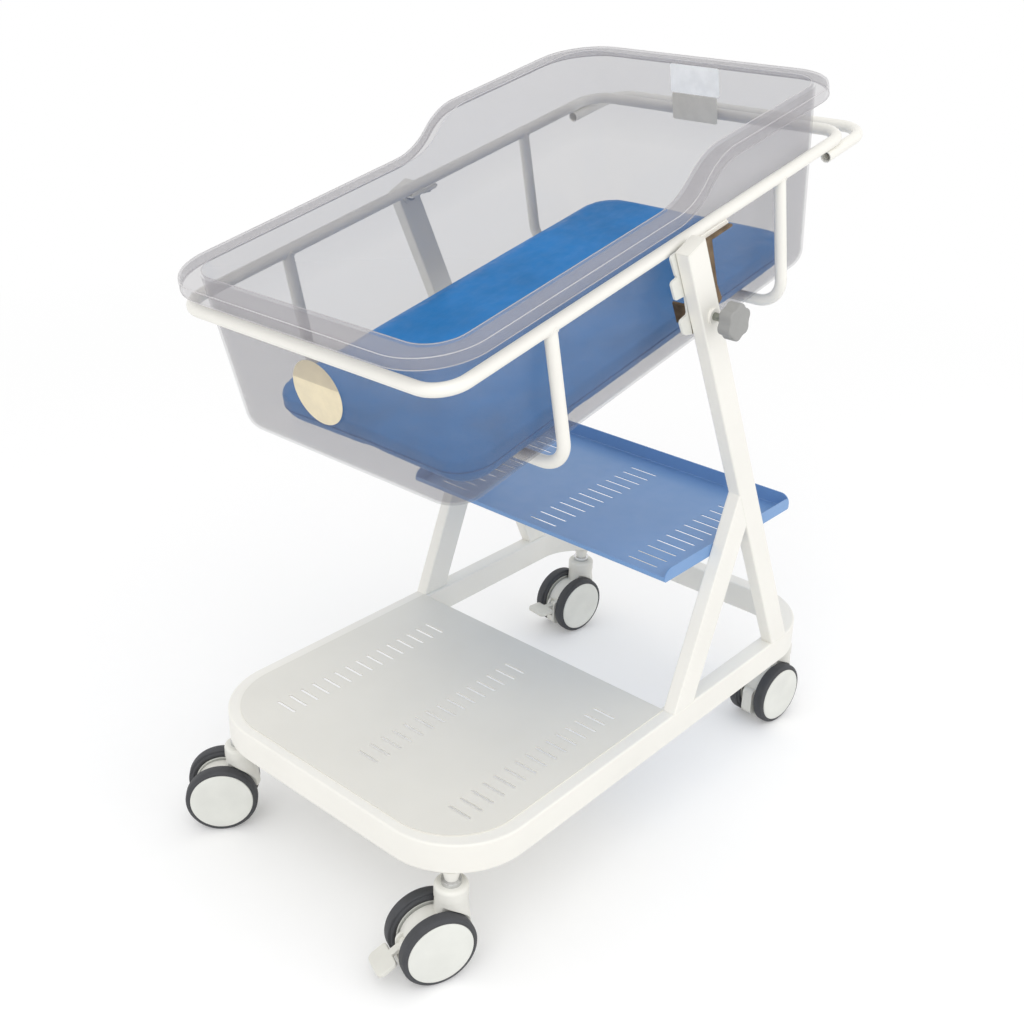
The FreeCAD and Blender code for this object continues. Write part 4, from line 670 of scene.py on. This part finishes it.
@dataclass
class Caster:
    """One twin-wheel caster: housing, stem, two wheels and, on two of them, a pedal."""

    name: str
    brake: Brake
    tread_radius: float = 0.050
    half_width: float = 0.00975
    disc_radius: float = 0.0433
    seat_radius: float = 0.0396
    steps: int = ROUND_STEPS

    def tyre(self) -> bmesh.types.BMesh:
        """A tyre with a crowned tread and a step on each shoulder.

        Each section point is (radius, place along the axle), outer flank first.
        """
        tread = self.tread_radius
        half = self.half_width
        flank = [
            (self.seat_radius, half - 0.0012),
            (self.disc_radius + 0.0001, half - 0.0010),
            (self.disc_radius + 0.0001, half - 0.0001),
            (self.disc_radius + 0.0012, half),
            (tread - 0.0042, half - 0.0001),
            (tread - 0.0030, half - 0.0009),
            (tread - 0.0026, half - 0.0013),
            (tread - 0.0012, half - 0.0019),
            (tread - 0.0004, half - 0.0033),
            (tread, half - 0.0052),
        ]
        inner_flank = [
            (tread, -half + 0.0062),
            (tread - 0.0004, -half + 0.0044),
            (tread - 0.0012, -half + 0.0036),
            (tread - 0.0034, -half + 0.0032),
            (tread - 0.0038, -half + 0.0026),
            (tread - 0.0046, -half + 0.0005),
            (tread - 0.0062, -half),
            (self.seat_radius + 0.0010, -half + 0.0012),
            (self.seat_radius, -half + 0.0016),
        ]
        return turned(flank + inner_flank, self.steps)

    def hub(self) -> bmesh.types.BMesh:
        """A hub with a faintly dished outer disc and a plain recessed inner face.

        Each section point is (radius, place along the axle), outer face first.
        """
        half = self.half_width
        disc = self.disc_radius
        seat = self.seat_radius - 0.0001
        section = [
            (0.0, half + 0.0006),
            (disc * 0.55, half + 0.0007),
            (disc * 0.80, half + 0.0012),
            (disc * 0.93, half + 0.0013),
            (disc - 0.0010, half + 0.0010),
            (disc - 0.0002, half + 0.0004),
            (disc, half - 0.0008),
            (seat, half - 0.0010),
            (seat, -half + 0.0018),
            (seat - 0.0020, -half + 0.0016),
            (seat - 0.0032, -half + 0.0036),
            (0.0125, -half + 0.0036),
            (0.0120, -half + 0.0006),
            (0.0, -half + 0.0006),
        ]
        return turned(section, self.steps)

    def build(self) -> None:
        """Build both wheels in their places and dress the other parts."""
        first = centre_of(f"{self.name}_tyre_1")
        second = centre_of(f"{self.name}_tyre_2")
        for number, place, other in ((1, first, second), (2, second, first)):
            outward = (place - other).normalized()
            turn = Vector((0.0, 1.0, 0.0)).rotation_difference(outward).to_matrix().to_4x4()
            move = Matrix.Translation(place) @ turn
            body = f"{self.name}_wheel_{number}"
            tyre_shape = self.tyre()
            transform(tyre_shape, move)
            name = f"{self.name}_tyre_tread_{number}"
            tyre = finished_piece(
                name, tyre_shape, Finishes.TYRE, body, WHEEL_SHARP
            )
            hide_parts(f"{self.name}_tyre_{number}")
            hub_shape = self.hub()
            transform(hub_shape, move)
            name = f"{self.name}_hub_disc_{number}"
            hub = finished_piece(name, hub_shape, Finishes.HUB, body, WHEEL_SHARP)
            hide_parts(f"{self.name}_hub_{number}")
        dress(Finishes.HOUSING, f"{self.name}_housing")
        dress(Finishes.ZINC, f"{self.name}_axle")
        if self.brake is Brake.PEDAL:
            dress(Finishes.PEDAL, f"{self.name}_pedal")


@dataclass
class Casters:
    """The four casters and their stems."""

    set_of_four: list[Caster] = field(
        default_factory=lambda: [
            Caster("foot_right", Brake.PEDAL),
            Caster("foot_left", Brake.NONE),
            Caster("head_right", Brake.NONE),
            Caster("head_left", Brake.PEDAL),
        ]
    )

    def build(self) -> None:
        """Build each caster and dress the stems."""
        dress(Finishes.CHROME, "caster_stems")
        for caster in self.set_of_four:
            caster.build()


@dataclass
class Basket:
    """The tilting tube frame, its welds and its clamp."""

    place: BasketPlace
    tube_radius: float = 0.008
    ring_y: float = 0.21996
    hanger_x: tuple[float, float] = (-0.235, 0.233)
    strips: dict[int, tuple[float, float]] = field(
        default_factory=lambda: {-1: (0.011, 0.100), 1: (-0.014, 0.036)}
    )
    strip_half: float = 0.0060
    strip_top: float = -0.0068
    strip_inset: float = 0.002
    bead: float = 0.0014
    ripple: float = 0.12
    ripple_length: float = 0.0022
    turns: int = 72

    def hanger_weld(self, x: float, side: int) -> list[Vector]:
        """The line round a hanger's top, where it meets the ring tube.

        Args:
            x: The hanger's place.
            side: -1 on the right, 1 on the left.

        Returns:
            The line, level.
        """
        line = []
        for i in range(self.turns):
            turn = math.tau * i / self.turns
            across = math.cos(turn) * self.tube_radius
            y = side * self.ring_y + math.sin(turn) * self.tube_radius
            line.append(Vector((x + across, y, -abs(across))))
        return line

    def weld(self, name: str, line: list[Vector], closed: bool) -> None:
        """Add one rippled weld bead along a level line."""
        shape = swept(line, self.bead, closed, self.ripple)
        self.place.settle(shape)
        finished_piece(name, shape, Finishes.FRAME, "basket", BEAD_SHARP)

    def welds(self) -> None:
        """Add the weld beads of the hangers and the pivot strips."""
        for end, x in zip(("foot", "head"), self.hanger_x):
            for side, hand in ((-1, "right"), (1, "left")):
                self.weld(f"weld_{end}_hanger_{hand}", self.hanger_weld(x, side), True)
        for side, (start, end) in self.strips.items():
            hand = "right" if side < 0 else "left"
            for edge, reach in (("outer", self.strip_half), ("inner", -self.strip_half)):
                y = side * (self.ring_y + reach)
                first = Vector((start + self.strip_inset, y, self.strip_top))
                last = Vector((end - self.strip_inset, y, self.strip_top))
                count = round((end - start) / self.ripple_length)
                self.weld(f"weld_strip_{hand}_{edge}", between(first, last, count), False)

    def build(self) -> None:
        """Add the welds and dress the basket's tubes, brackets and clamp."""
        self.welds()
        dress(
            Finishes.FRAME,
            "basket_ring",
            "foot_hanger",
            "head_hanger",
            "push_handle",
            "pivot_strips",
            "left_bracket",
        )
        dress(Finishes.CLAMP, "quadrant", "clamp_plate")
        dress(Finishes.GUARD, "quadrant_guard")
        dress(Finishes.ZINC, "bracket_screws", "pivot_pins", "clamp_nut")
        dress(Finishes.STUD, "clamp_stud")
        dress(Finishes.KNOB, "clamp_knob")


@dataclass(frozen=True)
class RimLine:
    """A line round the tub's rim: its outline in plan and how far it lies under the rim's top."""

    foot_x: float
    head_x: float
    half_width: float
    corner: float
    drop: float

    def plan(self) -> list[Vector]:
        """The rounded outline, closely spaced along its long sides."""
        spots = []
        quarters = (
            (self.head_x, -self.half_width, -1, 1, -90),
            (self.head_x, self.half_width, -1, -1, 0),
            (self.foot_x, self.half_width, 1, -1, 90),
            (self.foot_x, -self.half_width, 1, 1, 180),
        )
        for x, y, inward_x, inward_y, start in quarters:
            middle = Vector((x + inward_x * self.corner, y + inward_y * self.corner, 0.0))
            for step in range(RIM_CORNER_STEPS + 1):
                turn = math.radians(start + 90 * step / RIM_CORNER_STEPS)
                arm = Vector((math.cos(turn), math.sin(turn), 0.0)) * self.corner
                spots.append(middle + arm)
        dense = []
        for spot, following in zip(spots, spots[1:] + spots[:1]):
            count = max(1, round((following - spot).length / RIM_SPACING))
            dense += [spot.lerp(following, i / count) for i in range(count)]
        return dense


@dataclass
class Tub:
    """The clear moulded tub with thin beads along its rim edges whose pale colour is a painted
    highlight, bare sticker and bare label plates.
    """

    place: BasketPlace
    foot_wall_x: float = -0.39308
    foot_draft: float = 1.154
    head_wall_x: float = 0.36381
    head_draft: float = 1.55
    rim_low: float = 0.043
    rim_high: float = 0.0875
    slope_start: float = -0.013
    slope_length: float = 0.125
    edge_highlight_bead: float = 0.0006
    sticker_radius: float = 0.041
    sticker_y: float = 0.004
    sticker_z: float = -0.0663
    sticker_edge: float = 0.00012
    label_corner: float = 0.003
    film: float = 0.0004
    film_proud: float = 0.7
    lines: dict[str, RimLine] = field(
        default_factory=lambda: {
            "tub_edge_highlight_inner": RimLine(-0.3911, 0.3660, 0.2082, 0.0450, 0.0008),
            "tub_edge_highlight_outer": RimLine(-0.4229, 0.3885, 0.2344, 0.0788, 0.0013),
            "tub_edge_highlight_lip": RimLine(-0.4237, 0.3893, 0.2352, 0.0796, 0.0148),
        }
    )

    def rim_point(self, spot: Vector, drop: float) -> Vector:
        """A point under the rim's top line: low, an S-shaped slope, high.

        Args:
            spot: The point in plan.
            drop: How far under the top it lies, square to the rim.

        Returns:
            The point, level.
        """
        rise = self.rim_high - self.rim_low
        radius = (self.slope_length**2 + rise**2) / (4 * rise)
        along = min(max(spot.x - self.slope_start, 0.0), self.slope_length)
        first = along < self.slope_length / 2
        reach = along if first else self.slope_length - along
        angle = math.asin(reach / radius)
        lift = radius * (1 - math.cos(angle))
        height = self.rim_low + lift if first else self.rim_high - lift
        x = spot.x + drop * math.sin(angle)
        return Vector((x, spot.y, height - drop * math.cos(angle)))

    def edges(self) -> None:
        """Add thin beads along the rim's edges, their whiter, less clear colour a painted
        highlight.
        """
        for name, line in self.lines.items():
            points = [self.rim_point(spot, line.drop) for spot in line.plan()]
            # Each bead's pale finish is a painted highlight along the rim's edge.
            shape = swept(points, self.edge_highlight_bead)
            self.place.settle(shape)
            finished_piece(name, shape, Finishes.TUB_EDGE_HIGHLIGHT, "tub", BEAD_SHARP)

    def plate(
        self, name: str, low: tuple[float, float], high: tuple[float, float], finish: Finish
    ) -> None:
        """A bare rounded label on the inner side of the head wall.

        Args:
            name: The piece's name.
            low: Lowest y and z in the basket's level frame.
            high: Highest y and z.
            finish: The label's finish.
        """
        shape = bmesh.new()
        bmesh.ops.create_cube(shape, size=1.0)
        size = Matrix.Diagonal((self.film, high[0] - low[0], high[1] - low[1], 1.0))
        transform(shape, size)
        along = [e for e in shape.edges if abs((e.verts[0].co - e.verts[1].co).x) > SAME_LENGTH]
        bevel(shape, along, self.label_corner, segments=5)
        middle_z = (low[1] + high[1]) / 2
        wall_x = self.head_wall_x + math.tan(math.radians(self.head_draft)) * middle_z
        lean = Matrix.Rotation(math.radians(self.head_draft), 4, "Y")
        x = wall_x - self.film * self.film_proud
        middle = Vector((x, (low[0] + high[0]) / 2, middle_z))
        transform(shape, Matrix.Translation(middle) @ lean)
        self.place.settle(shape)
        finished_piece(name, shape, finish, "tub")

    def sticker(self) -> None:
        """The round bare sticker on the outer side of the foot wall."""
        shape = bmesh.new()
        bmesh.ops.create_cone(
            shape,
            cap_ends=True,
            cap_tris=False,
            segments=ROUND_STEPS,
            radius1=self.sticker_radius,
            radius2=self.sticker_radius,
            depth=self.film,
        )
        rims = [e for e in shape.edges if abs(e.verts[0].co.z - e.verts[1].co.z) < SAME_LENGTH]
        bevel(shape, rims, self.sticker_edge, segments=2)
        upright = Matrix.Rotation(math.radians(-90 + self.foot_draft), 4, "Y")
        wall_x = self.foot_wall_x - math.tan(math.radians(self.foot_draft)) * self.sticker_z
        x = wall_x - self.film * self.film_proud
        spot = Matrix.Translation((x, self.sticker_y, self.sticker_z))
        transform(shape, spot @ upright)
        self.place.settle(shape)
        finished_piece("foot_sticker", shape, Finishes.STICKER, "tub")

    def build(self) -> None:
        """Dress the shell and add its edges and labels."""
        dress(Finishes.TUB, "tub")
        self.edges()
        self.sticker()
        for name, low, high, finish in (
            ("head_label_white", (-0.042, 0.0398), (0.0408, 0.081), Finishes.WHITE_LABEL),
            ("head_label_silver", (-0.0375, 0.0005), (0.0392, 0.039), Finishes.SILVER_LABEL),
        ):
            self.plate(name, low, high, finish)


@dataclass
class Mattress:
    """Foam pad in a smooth vinyl cover, full and round along its lower edge."""

    place: BasketPlace
    foot_x: float = -0.3515
    head_x: float = 0.3505
    half_width: float = 0.1772
    bottom_z: float = -0.1744
    top_z: float = -0.1336
    corner: float = 0.048
    top_edge: float = 0.004
    low_edge: float = 0.029
    voxel: float = 0.005
    pressure: float = 4.0
    reach: float = 0.005
    frames: int = 20
    seam_radius: float = 0.0011
    seam_height: float = 0.021
    seam_points: int = 280
    seam_start: float = 1.2
    outline_power: float = 0.35

    def block(self) -> bmesh.types.BMesh:
        """The pad's plain rounded block, level."""
        shape = bmesh.new()
        bmesh.ops.create_cube(shape, size=1.0)
        size = Matrix.Diagonal(
            (self.head_x - self.foot_x, 2 * self.half_width, self.top_z - self.bottom_z, 1.0)
        )
        middle = ((self.head_x + self.foot_x) / 2, 0.0, (self.top_z + self.bottom_z) / 2)
        transform(shape, Matrix.Translation(middle) @ size)
        upright = [e for e in shape.edges if abs((e.verts[0].co - e.verts[1].co).z) > SAME_LENGTH]
        bevel(shape, upright, self.corner, segments=12)
        for height, offset, segments in (
            (self.top_z, self.top_edge, 3),
            (self.bottom_z, self.low_edge, 10),
        ):
            level = [
                e
                for e in shape.edges
                if all(abs(vert.co.z - height) < SAME_LENGTH for vert in e.verts)
                and e.calc_face_angle(0.0) > 1.0
            ]
            bevel(shape, level, offset, segments)
        return shape

    def puffed(self, shape: bmesh.types.BMesh) -> bmesh.types.BMesh:
        """Swell the cover over its foam by cloth simulation, then cap each point's travel.

        Args:
            shape: The plain block; it is freed.

        Returns:
            The swollen shape.
        """
        mesh = bpy.data.meshes.new("mattress_core")
        shape.to_mesh(mesh)
        shape.free()
        core = linked("mattress_core", mesh)
        remesh = core.modifiers.new("remesh", "REMESH")
        remesh.mode = "VOXEL"
        remesh.voxel_size = self.voxel
        depsgraph = bpy.context.evaluated_depsgraph_get()
        even = bpy.data.meshes.new_from_object(core.evaluated_get(depsgraph))
        core.modifiers.clear()
        core.data = even
        rest = [v.co.copy() for v in even.vertices]
        cloth = core.modifiers.new("cloth", "CLOTH")
        cloth.settings.quality = 5
        cloth.settings.mass = 0.3
        cloth.settings.tension_stiffness = 30
        cloth.settings.compression_stiffness = 30
        cloth.settings.bending_stiffness = 4
        cloth.settings.use_pressure = True
        cloth.settings.uniform_pressure_force = self.pressure
        cloth.settings.effector_weights.gravity = 0.0
        cloth.collision_settings.use_self_collision = False
        scene = bpy.context.scene
        for step in range(1, self.frames + 1):
            scene.frame_set(step)
        depsgraph = bpy.context.evaluated_depsgraph_get()
        swollen = core.evaluated_get(depsgraph).data
        moved = [v.co.copy() for v in swollen.vertices]
        core.modifiers.clear()
        scene.frame_set(1)
        result = bmesh.new()
        result.from_mesh(even)
        bpy.data.objects.remove(core)
        result.verts.ensure_lookup_table()
        for vert, start, end in zip(result.verts, rest, moved):
            travel = end - start
            if travel.length > self.reach:
                travel = travel.normalized() * self.reach
            vert.co = start + travel
            vert.co.z = max(vert.co.z, self.bottom_z)
        return result

    def seam(self, name: str, height: float, surface: BVHTree) -> None:
        """A welded seam round the pad, laid on its side at one height.

        Args:
            name: The piece's name.
            height: Height of the seam in the basket's level frame.
            surface: The pad's surface, level.
        """
        middle = Vector(((self.head_x + self.foot_x) / 2, 0.0, height))
        line = []
        for i in range(self.seam_points):
            turn = math.tau * i / self.seam_points
            aim = self.outline_point(turn) - Vector((middle.x, 0.0, 0.0))
            far = aim * self.seam_start
            hit = surface.ray_cast(middle + far, -far.normalized())[0]
            line.append(hit if hit is not None else middle + aim)
        shape = swept(line, self.seam_radius)
        self.place.settle(shape)
        finished_piece(name, shape, Finishes.SEAM, "mattress", SEAM_SHARP)

    def outline_point(self, angle: float) -> Vector:
        """A point on the pad's rounded outline in a direction from its middle.

        Args:
            angle: Direction in radians.

        Returns:
            The point, level, at height 0.
        """
        half_length = (self.head_x - self.foot_x) / 2
        along, across = math.cos(angle), math.sin(angle)
        x = math.copysign(abs(along) ** self.outline_power, along) * half_length
        y = math.copysign(abs(across) ** self.outline_power, across) * self.half_width
        return Vector(((self.head_x + self.foot_x) / 2 + x, y, 0.0))

    def build(self) -> None:
        """Build the pad and its seam and put them in place of the plain solid."""
        shape = self.puffed(self.block())
        surface = BVHTree.FromBMesh(shape)
        self.seam("mattress_seam", self.bottom_z + self.seam_height, surface)
        self.place.settle(shape)
        pad = finished_piece(
            "mattress_pad", shape, Finishes.COVER, "mattress", NEVER_SHARP
        )
        smooth = pad.modifiers.new("smooth", "SUBSURF")
        smooth.levels = 1
        smooth.render_levels = 1
        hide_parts("mattress")


# ---------------------------------------------------------------- studio
@dataclass
class Studio:
    """Floor, lights and camera."""

    camera_place: tuple[float, float, float] = (-1.2907, -1.0734, 1.2335)
    azimuth: float = -49.47
    elevation: float = 23.48
    roll: float = 1.62
    lens: float = 45.81
    shift: tuple[float, float] = (-0.0082, -0.0524)
    floor_radius: float = 30.0
    floor_grey: float = 0.86
    floor_lift: float = 0.15
    fade: tuple[float, float] = (1.4, 3.0)
    ambient: float = 0.9
    lamp_aim: tuple[float, float, float] = (0.0, 0.0, 0.5)

    def camera(self) -> None:
        """Put the camera at the viewing angle."""
        middle = centre_of("base_frame")
        azimuth = math.radians(self.azimuth)
        elevation = math.radians(self.elevation)
        level = math.cos(elevation)
        back = Vector(
            (math.sin(azimuth) * level, -math.cos(azimuth) * level, math.sin(elevation))
        )
        right = Vector((math.cos(azimuth), math.sin(azimuth), 0.0))
        up = back.cross(right)
        c = math.cos(math.radians(self.roll))
        s = math.sin(math.radians(self.roll))
        turn = Matrix((c * right + s * up, -s * right + c * up, back)).transposed().to_4x4()
        data = bpy.data.cameras.new("camera")
        data.sensor_width = 36.0
        data.lens = self.lens
        data.shift_x, data.shift_y = self.shift
        data.clip_start = 0.05
        data.clip_end = 200.0
        holder = linked("camera", data)
        place = Vector(self.camera_place) + Vector((middle.x, middle.y, 0.0))
        holder.matrix_world = Matrix.Translation(place) @ turn
        bpy.context.scene.camera = holder

    def world(self) -> None:
        """Even soft light, with a white background for what is seen directly."""
        world = bpy.data.worlds.new("studio_world")
        world.use_nodes = True
        nodes = world.node_tree.nodes
        links = world.node_tree.links
        nodes.clear()
        output = nodes.new("ShaderNodeOutputWorld")
        mix = nodes.new("ShaderNodeMixShader")
        lit = nodes.new("ShaderNodeBackground")
        seen = nodes.new("ShaderNodeBackground")
        lit.inputs["Color"].default_value = (1.0, 1.0, 1.0, 1.0)
        lit.inputs["Strength"].default_value = self.ambient
        seen.inputs["Color"].default_value = (1.0, 1.0, 1.0, 1.0)
        seen.inputs["Strength"].default_value = 1.0
        links.new(self.direct(nodes, links), mix.inputs["Fac"])
        links.new(lit.outputs["Background"], mix.inputs[1])
        links.new(seen.outputs["Background"], mix.inputs[2])
        links.new(mix.outputs["Shader"], output.inputs["Surface"])
        bpy.context.scene.world = world

    @staticmethod
    def direct(nodes: bpy.types.Nodes, links: bpy.types.NodeLinks) -> bpy.types.NodeSocket:
        """A factor of 1 for rays that come from the camera, a reflection or a clear piece.

        Args:
            nodes: The tree's nodes.
            links: The tree's links.

        Returns:
            The factor.
        """
        path = nodes.new("ShaderNodeLightPath")
        factor = path.outputs["Is Camera Ray"]
        for kind in ("Is Glossy Ray", "Is Transmission Ray"):
            either = nodes.new("ShaderNodeMath")
            either.operation = "MAXIMUM"
            links.new(factor, either.inputs[0])
            links.new(path.outputs[kind], either.inputs[1])
            factor = either.outputs["Value"]
        return factor

    def floor(self) -> None:
        """A pale floor that keeps the shadow and fades to white further out."""
        shape = bmesh.new()
        bmesh.ops.create_circle(
            shape, cap_ends=True, segments=ROUND_STEPS, radius=self.floor_radius
        )
        mesh = bpy.data.meshes.new("floor")
        shape.to_mesh(mesh)
        shape.free()
        floor = linked("floor", mesh)
        material = bpy.data.materials.new("floor_white")
        material.use_nodes = True
        nodes = material.node_tree.nodes
        links = material.node_tree.links
        nodes.clear()
        output = nodes.new("ShaderNodeOutputMaterial")
        matt = nodes.new("ShaderNodeBsdfDiffuse")
        grey = self.floor_grey
        matt.inputs["Color"].default_value = (grey, grey, grey, 1.0)
        lift = nodes.new("ShaderNodeEmission")
        lift.inputs["Color"].default_value = (1.0, 1.0, 1.0, 1.0)
        amount = nodes.new("ShaderNodeMath")
        amount.operation = "MULTIPLY"
        amount.inputs[1].default_value = self.floor_lift
        links.new(self.direct(nodes, links), amount.inputs[0])
        links.new(amount.outputs["Value"], lift.inputs["Strength"])
        ground = nodes.new("ShaderNodeAddShader")
        links.new(matt.outputs["BSDF"], ground.inputs[0])
        links.new(lift.outputs["Emission"], ground.inputs[1])
        far = nodes.new("ShaderNodeEmission")
        far.inputs["Color"].default_value = (1.0, 1.0, 1.0, 1.0)
        place = nodes.new("ShaderNodeTexCoord")
        length = nodes.new("ShaderNodeVectorMath")
        length.operation = "LENGTH"
        links.new(place.outputs["Object"], length.inputs[0])
        fade = nodes.new("ShaderNodeMapRange")
        fade.inputs["From Min"].default_value = self.fade[0]
        fade.inputs["From Max"].default_value = self.fade[1]
        links.new(length.outputs["Value"], fade.inputs["Value"])
        mix = nodes.new("ShaderNodeMixShader")
        links.new(fade.outputs["Result"], mix.inputs["Fac"])
        links.new(ground.outputs["Shader"], mix.inputs[1])
        links.new(far.outputs["Emission"], mix.inputs[2])
        links.new(mix.outputs["Shader"], output.inputs["Surface"])
        mesh.materials.append(material)

    def lamp(self, name: str, place: Vector, size: float, power: float) -> None:
        """A large soft area light that faces the middle of the bassinet.

        Args:
            name: The light's name.
            place: Where it stands.
            size: Its side, in metres.
            power: Its power, in watts.
        """
        data = bpy.data.lights.new(name, "AREA")
        data.shape = "SQUARE"
        data.size = size
        data.energy = power
        holder = linked(name, data)
        aim = Vector(self.lamp_aim) - place
        turn = aim.to_track_quat("-Z", "Y").to_matrix().to_4x4()
        holder.matrix_world = Matrix.Translation(place) @ turn

    def build(self) -> None:
        """Set the studio up."""
        self.camera()
        self.world()
        self.floor()
        self.lamp("key_light", Vector((-2.4, -1.6, 3.0)), size=3.2, power=40.0)
        self.lamp("side_light", Vector((1.0, -3.0, 2.2)), size=2.6, power=14.0)
        bpy.context.scene.view_settings.view_transform = "Standard"


def corners(box: tuple[Vector, Vector]) -> list[list[float]]:
    """A box's two corners as plain lists of numbers."""
    return [[round(value, 6) for value in corner] for corner in box]


def main() -> None:
    """Build the whole scene."""
    logging.basicConfig(level=logging.INFO, format="%(message)s")
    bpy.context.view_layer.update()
    place = BasketPlace()
    Studio().build()
    Stand().build()
    Casters().build()
    Basket(place).build()
    Tub(place).build()
    Mattress(place).build()


if __name__ == "__main__":
    main()
